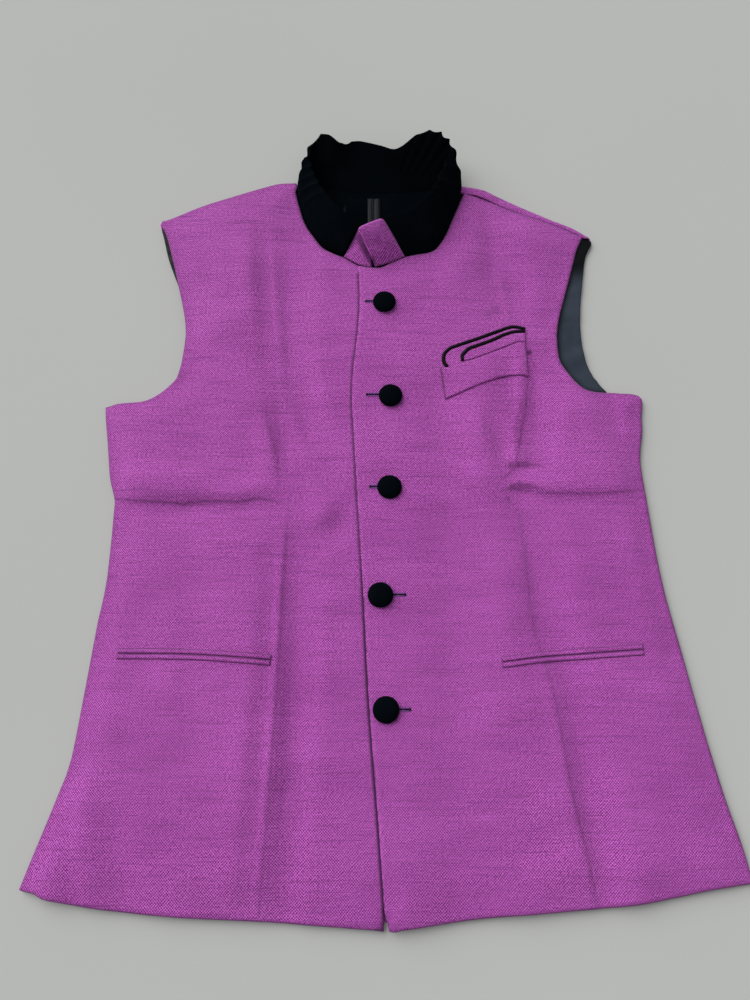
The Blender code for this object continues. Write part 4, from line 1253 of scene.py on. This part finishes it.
# %% Pockets
PocketPiece = namedtuple("PocketPiece", "name node finish top wall drop dark line growth down")
LIPS = [(side, lip) for side in ("right", "left") for lip in ("upper", "lower")]
# dark and line: the painted shade along each piece's rim, and its width
POCKET_PIECES = [PocketPiece(*row) for row in (
    ("breast_pocket_welt", "breast_welt", cloth, 1.5, 1.2, 0.7, 0.3, 1.2, 0.0, 0.0),
    ("folded_square_back", "square_back", cloth, 1.0, 0.8, 0.3, 0.1, 1.2, 0.0, 1.6),
    ("square_back_edging", "square_back_piping", piping, 1.9, 1.4, 0.8, 0.0, 1.2, 0.3, 1.6),
    ("folded_square_front", "square_front", cloth, 1.9, 0.9, 0.3, 0.1, 1.2, 0.0, 0.0),
    ("square_front_edging", "square_front_piping", piping, 2.8, 1.4, 0.8, 0.0, 1.2, 0.3, 0.0),
    *((f"{side}_pocket_{lip}_lip", f"hip_pocket_{side}_{lip}", cloth, 1.0, 1.0, 0.5, 0.8, 1.5,
       0.0, 0.0) for side, lip in LIPS),
)]
POCKET_SPACING = 1.4
RIGHT_POCKET_TILT = 0.029
# painted shadow of the welt: a dark line along this end of it
WELT_SHADOW = [(56.0, 506.0), (60.0, 472.0)]    # this end of the welt casts the darkest line
WELT_SHADOW_DARK, WELT_SHADOW_WIDTH = 0.9, 2.8
SEAT_REACH = 1.5
on_fronts = top_of(front_right, front_left)
pocket_made = {}

for row in POCKET_PIECES:
    rim = grown(smooth_outline(row.node, POCKET_SPACING), row.growth)
    tilt = RIGHT_POCKET_TILT if row.name.startswith("right_pocket") else 0.0
    rim[:, 1] += tilt * (rim[:, 0] - rim[:, 0].mean()) - row.down

    def laid(points):
        return highest_near(on_fronts, points, SEAT_REACH) + row.top

    # painted shade along the rim, and the welt's painted shadow
    def seam_shade(points):
        dark = edge_shade(rim, row.dark, row.line)(points)
        if row.name == "breast_pocket_welt":
            away = nearest(points, np.array(WELT_SHADOW[:1]), np.array(WELT_SHADOW[1:]))[0]
            dark = np.maximum(dark, WELT_SHADOW_DARK * fade(away, WELT_SHADOW_WIDTH))
        return dark

    piece = cloth_panel(row.name, rim, laid, POCKET_SPACING, row.wall, row.drop, seam_shade)
    pocket_made[row.name] = dress(piece, row.finish, row.node)

# %% [markdown]
# ## Buttons and neck loop
#
# A covered button is a shallow dome of velvet pulled over a metal shell, gathered a little
# where it turns under. It is turned on a lathe here: one profile, spun round. The loop at the
# neck is a doubled satin tape.

# %% Buttons
BUTTON_RADIUS = 11.8
BUTTON_HEIGHT = 7.6
BUTTON_STEPS = 48
BUTTON_SHIFTS = {1: -1.7, 2: -0.9}    # the top two hang a little on their threads
BUTTON_PROFILE = [  # shares of the radius and the height, from the foot to the crown
    (0.0, 0.02), (0.55, 0.02), (0.80, 0.03), (0.93, 0.09), (0.99, 0.19), (1.0, 0.31), (0.975, 0.45),
    (0.92, 0.58), (0.82, 0.72), (0.69, 0.83), (0.53, 0.91), (0.34, 0.97), (0.16, 0.995), (0.0, 1.0),
]


def button(number):
    low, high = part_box(f"button_{number}")
    x, y = (low[0] + high[0]) / 2, (low[1] + high[1]) / 2
    y += BUTTON_SHIFTS.get(number, 0.0) * MM
    rest = on_fronts(np.array([[x / MM, (y - hem_y) / MM]]))[0]
    middle = Vector((x, y, rest * MM))
    mesh = bpy.data.meshes.new(f"covered_button_{number}")
    profile = [(middle.x + r * BUTTON_RADIUS * MM, middle.y, middle.z + h * BUTTON_HEIGHT * MM)
               for r, h in BUTTON_PROFILE]
    mesh.from_pydata(profile, [(i, i + 1) for i in range(len(profile) - 1)], [])
    piece = linked(mesh.name, mesh)
    take_up(piece)
    bpy.ops.object.mode_set(mode="EDIT")
    bpy.ops.mesh.select_all(action="SELECT")
    bpy.ops.mesh.spin(steps=BUTTON_STEPS, angle=2 * math.pi, center=middle, axis=(0, 0, 1))
    bpy.ops.mesh.select_all(action="SELECT")
    bpy.ops.mesh.remove_doubles(threshold=WELD)
    bpy.ops.mesh.normals_make_consistent(inside=False)
    bpy.ops.object.mode_set(mode="OBJECT")
    return piece


for number in range(1, 6):
    dress(button(number), brushed_velvet, f"button_{number}")

# %% [markdown]
# ### Neck loop
#
# The tape is folded lengthwise, so it has a groove down its middle, and it is sewn in at the top,
# where the two layers part. Shade is painted over it in streaks, darkest in the groove, in a notch
# at the top and on its half towards the wearer's left.

# %% Neck loop
TAPE_WALL, TAPE_PLEAT = 0.8, 0.6
# the notch is painted shade
TAPE_NOTCH = 706.0       # the notch starts at this height above the hem

tape_rim = smooth_outline("neck_loop", 1.0)
tape_low, tape_high = tape_rim[:, 0].min(), tape_rim[:, 0].max()
tape_middle, tape_half = (tape_low + tape_high) / 2, (tape_high - tape_low) / 2
tape_top = top_of(nodes["neck_loop"])


def pleated(points):
    share = np.abs(points[:, 0] - tape_middle) / tape_half
    return tape_top(points) + TAPE_PLEAT * np.sin(math.pi * np.clip(share, 0, 1))


def tape_painted_shade(points):
    # painted shade: streaks over the whole tape, darker in the groove, the notch and one half
    from_middle = np.abs(points[:, 0] - tape_middle)
    groove = 0.9 * fade(from_middle, 2.2)
    notch = fade(from_middle, 2.6) * ease((points[:, 1] - TAPE_NOTCH) / 2.0)
    streaks = 0.82 + 0.16 * np.sin(points[:, 0] * 2.4 + 0.12 * points[:, 1])
    side = 0.9 * ease((points[:, 0] - tape_middle) / tape_half * 1.4)
    return np.maximum.reduce([groove, notch, streaks, side])


tape = cloth_panel("neck_tape", tape_rim, pleated, 1.0, TAPE_WALL, drop=0.3,
                   crevice=tape_painted_shade)
dress(tape, satin, "neck_loop")

# %% [markdown]
# ## Buttonholes
#
# A buttonhole is a slit whose edges are oversewn with thread, stitch beside stitch, and closed at
# its far end with a bar of a few stitches across. Each stitch is a small bead of thread. The slit's
# shade is painted as dark beads along it, in the piping's finish, which the bar shares.

# %% Buttonholes
STITCH_RADIUS = 0.36
STITCH_LENGTH = 1.5
STITCH_STEP = 0.75
SLIT_RADIUS = 0.68
BAR_LENGTH, BAR_STITCHES, BAR_STEP = 2.8, 2, 0.7
BUTTONHOLES = [(-19.3, -9.0, 581.6), (-18.0, -3.0, 476.4), (-14.5, -4.0, 380.4),
               (18.5, 4.0, 275.9), (21.7, 8.0, 174.3)]    # far end, near end, height
BEAD_SHARES = ((0.0, 0.35), (0.18, 0.85), (0.5, 1.0), (0.82, 0.85), (1.0, 0.35))
BEAD_SIDES = 6


def bead(points, faces, start, end, radius):
    """Adds a bead of thread from start to end, thinner at both."""
    start, end = Vector(start), Vector(end)
    along = (end - start).normalized()
    side = along.cross(Vector((0, 0, 1))).normalized()
    first = len(points)
    for share, wide in BEAD_SHARES:
        for k in range(BEAD_SIDES):
            turn = 2 * math.pi * k / BEAD_SIDES
            out = side * math.cos(turn) + Vector((0, 0, 1)) * math.sin(turn)
            points.append(start.lerp(end, share) + out * radius * wide)
    for j in range(len(BEAD_SHARES) - 1):
        for k in range(BEAD_SIDES):
            a, b = first + j * BEAD_SIDES + k, first + j * BEAD_SIDES + (k + 1) % BEAD_SIDES
            faces.append((a, b, b + BEAD_SIDES, a + BEAD_SIDES))
    last = first + (len(BEAD_SHARES) - 1) * BEAD_SIDES
    faces.append(tuple(reversed(range(first, first + BEAD_SIDES))))
    faces.append(tuple(range(last, last + BEAD_SIDES)))


def buttonhole(number, far, near, y):
    way = 1.0 if near > far else -1.0
    stitches, slit_shade_and_bar = ([], []), ([], [])

    def at(x, dy, up):
        return (x, y + dy, float(on_fronts(np.array([[x, y + dy]]))[0]) + up)

    for x in np.arange(far, near, way * STITCH_STEP):
        for edge in (-1, 1):
            bead(*stitches, at(x, edge * SLIT_RADIUS, 0.2),
                 at(x, edge * (SLIT_RADIUS + STITCH_LENGTH), 0.1), STITCH_RADIUS)
    for k in range(BAR_STITCHES):
        x = far + way * k * BAR_STEP
        bead(*slit_shade_and_bar, at(x, -BAR_LENGTH / 2, 0.25), at(x, BAR_LENGTH / 2, 0.25), SLIT_RADIUS * 0.9)
    # painted shade: dark beads along the slit, where the cut lies in shade
    middle = (far + near) / 2
    bead(*slit_shade_and_bar, at(far, -0.2, 0.3), at(middle, 0.2, 0.3), SLIT_RADIUS)
    bead(*slit_shade_and_bar, at(middle - way * 0.8, 0.2, 0.3), at(near, 0.0, 0.3), SLIT_RADIUS)
    sewing = dress(new_piece(f"buttonhole_{number}_sewing", *stitches), thread)
    return [sewing, dress(new_piece(f"buttonhole_{number}_slit", *slit_shade_and_bar), piping)]


buttonholes = []
for number, hole in enumerate(BUTTONHOLES, 1):
    buttonholes += buttonhole(number, *hole)

# %% [markdown]
# ## Cut sizes
#
# A sheet of cloth keeps its area however it is laid. The size and area that each one was cut to are
# printed.

# %% Sheets
def surface(piece):
    """Area of both faces of a sheet, in square metres."""
    return sum(face.area for face in piece.data.polygons)


def rim_length(piece):
    """Length of a sheet's outline, from its upper face."""
    mesh = piece.data
    count = {}
    for face in mesh.polygons:
        if face.normal.z > 0.0:
            for key in face.edge_keys:
                count[key] = count.get(key, 0) + 1
    ends = [(mesh.vertices[a].co, mesh.vertices[b].co) for (a, b), n in count.items() if n == 1]
    return sum((a - b).length for a, b in ends)


def cut(piece, held, wall, grain=0.0, slope=False):
    """Prints the size of the pattern a sheet was cut to, whose grain is turned by some degrees."""
    turn = math.radians(grain)
    across = Vector((math.cos(turn), math.sin(turn), 0.0))
    along = Vector((-math.sin(turn), math.cos(turn), 0.0))
    size = []
    for way in (across, along, Vector((0, 0, 1))):
        places = [vert.co.dot(way) for vert in piece.data.vertices]
        size.append(max(places) - min(places))
    width, length = size[0], math.hypot(size[1], size[2]) if slope else size[1]
    area = min((surface(piece) - rim_length(piece) * wall * MM) / 2, width * length)
    print(f"{piece.name}: {width:.3f} by {length:.3f} m, {area:.4f} square metres, {held}")


cut(back, "laid", BACK_WALL)
cut(front_right, "laid", FRONT_WALL)
cut(front_left, "laid", FRONT_WALL)
cut(lining, "laid", LINING_WALL)
cut(facing, "laid", FACING_WALL)
cut(shoulder, "folded", SHOULDER_WALL, grain=-25.0)
cut(tape, "folded", TAPE_WALL)
cut(pocket_made["breast_pocket_welt"], "laid", 1.2, grain=17.0)
cut(pocket_made["folded_square_back"], "folded", 0.8,
    grain=20.0)
cut(pocket_made["folded_square_front"], "folded", 0.9,
    grain=20.0)
for side in ("left", "right"):
    cut(lobes[side], "folded", LOBE_WALL, slope=True)
collar_area = surface(collar) / 2
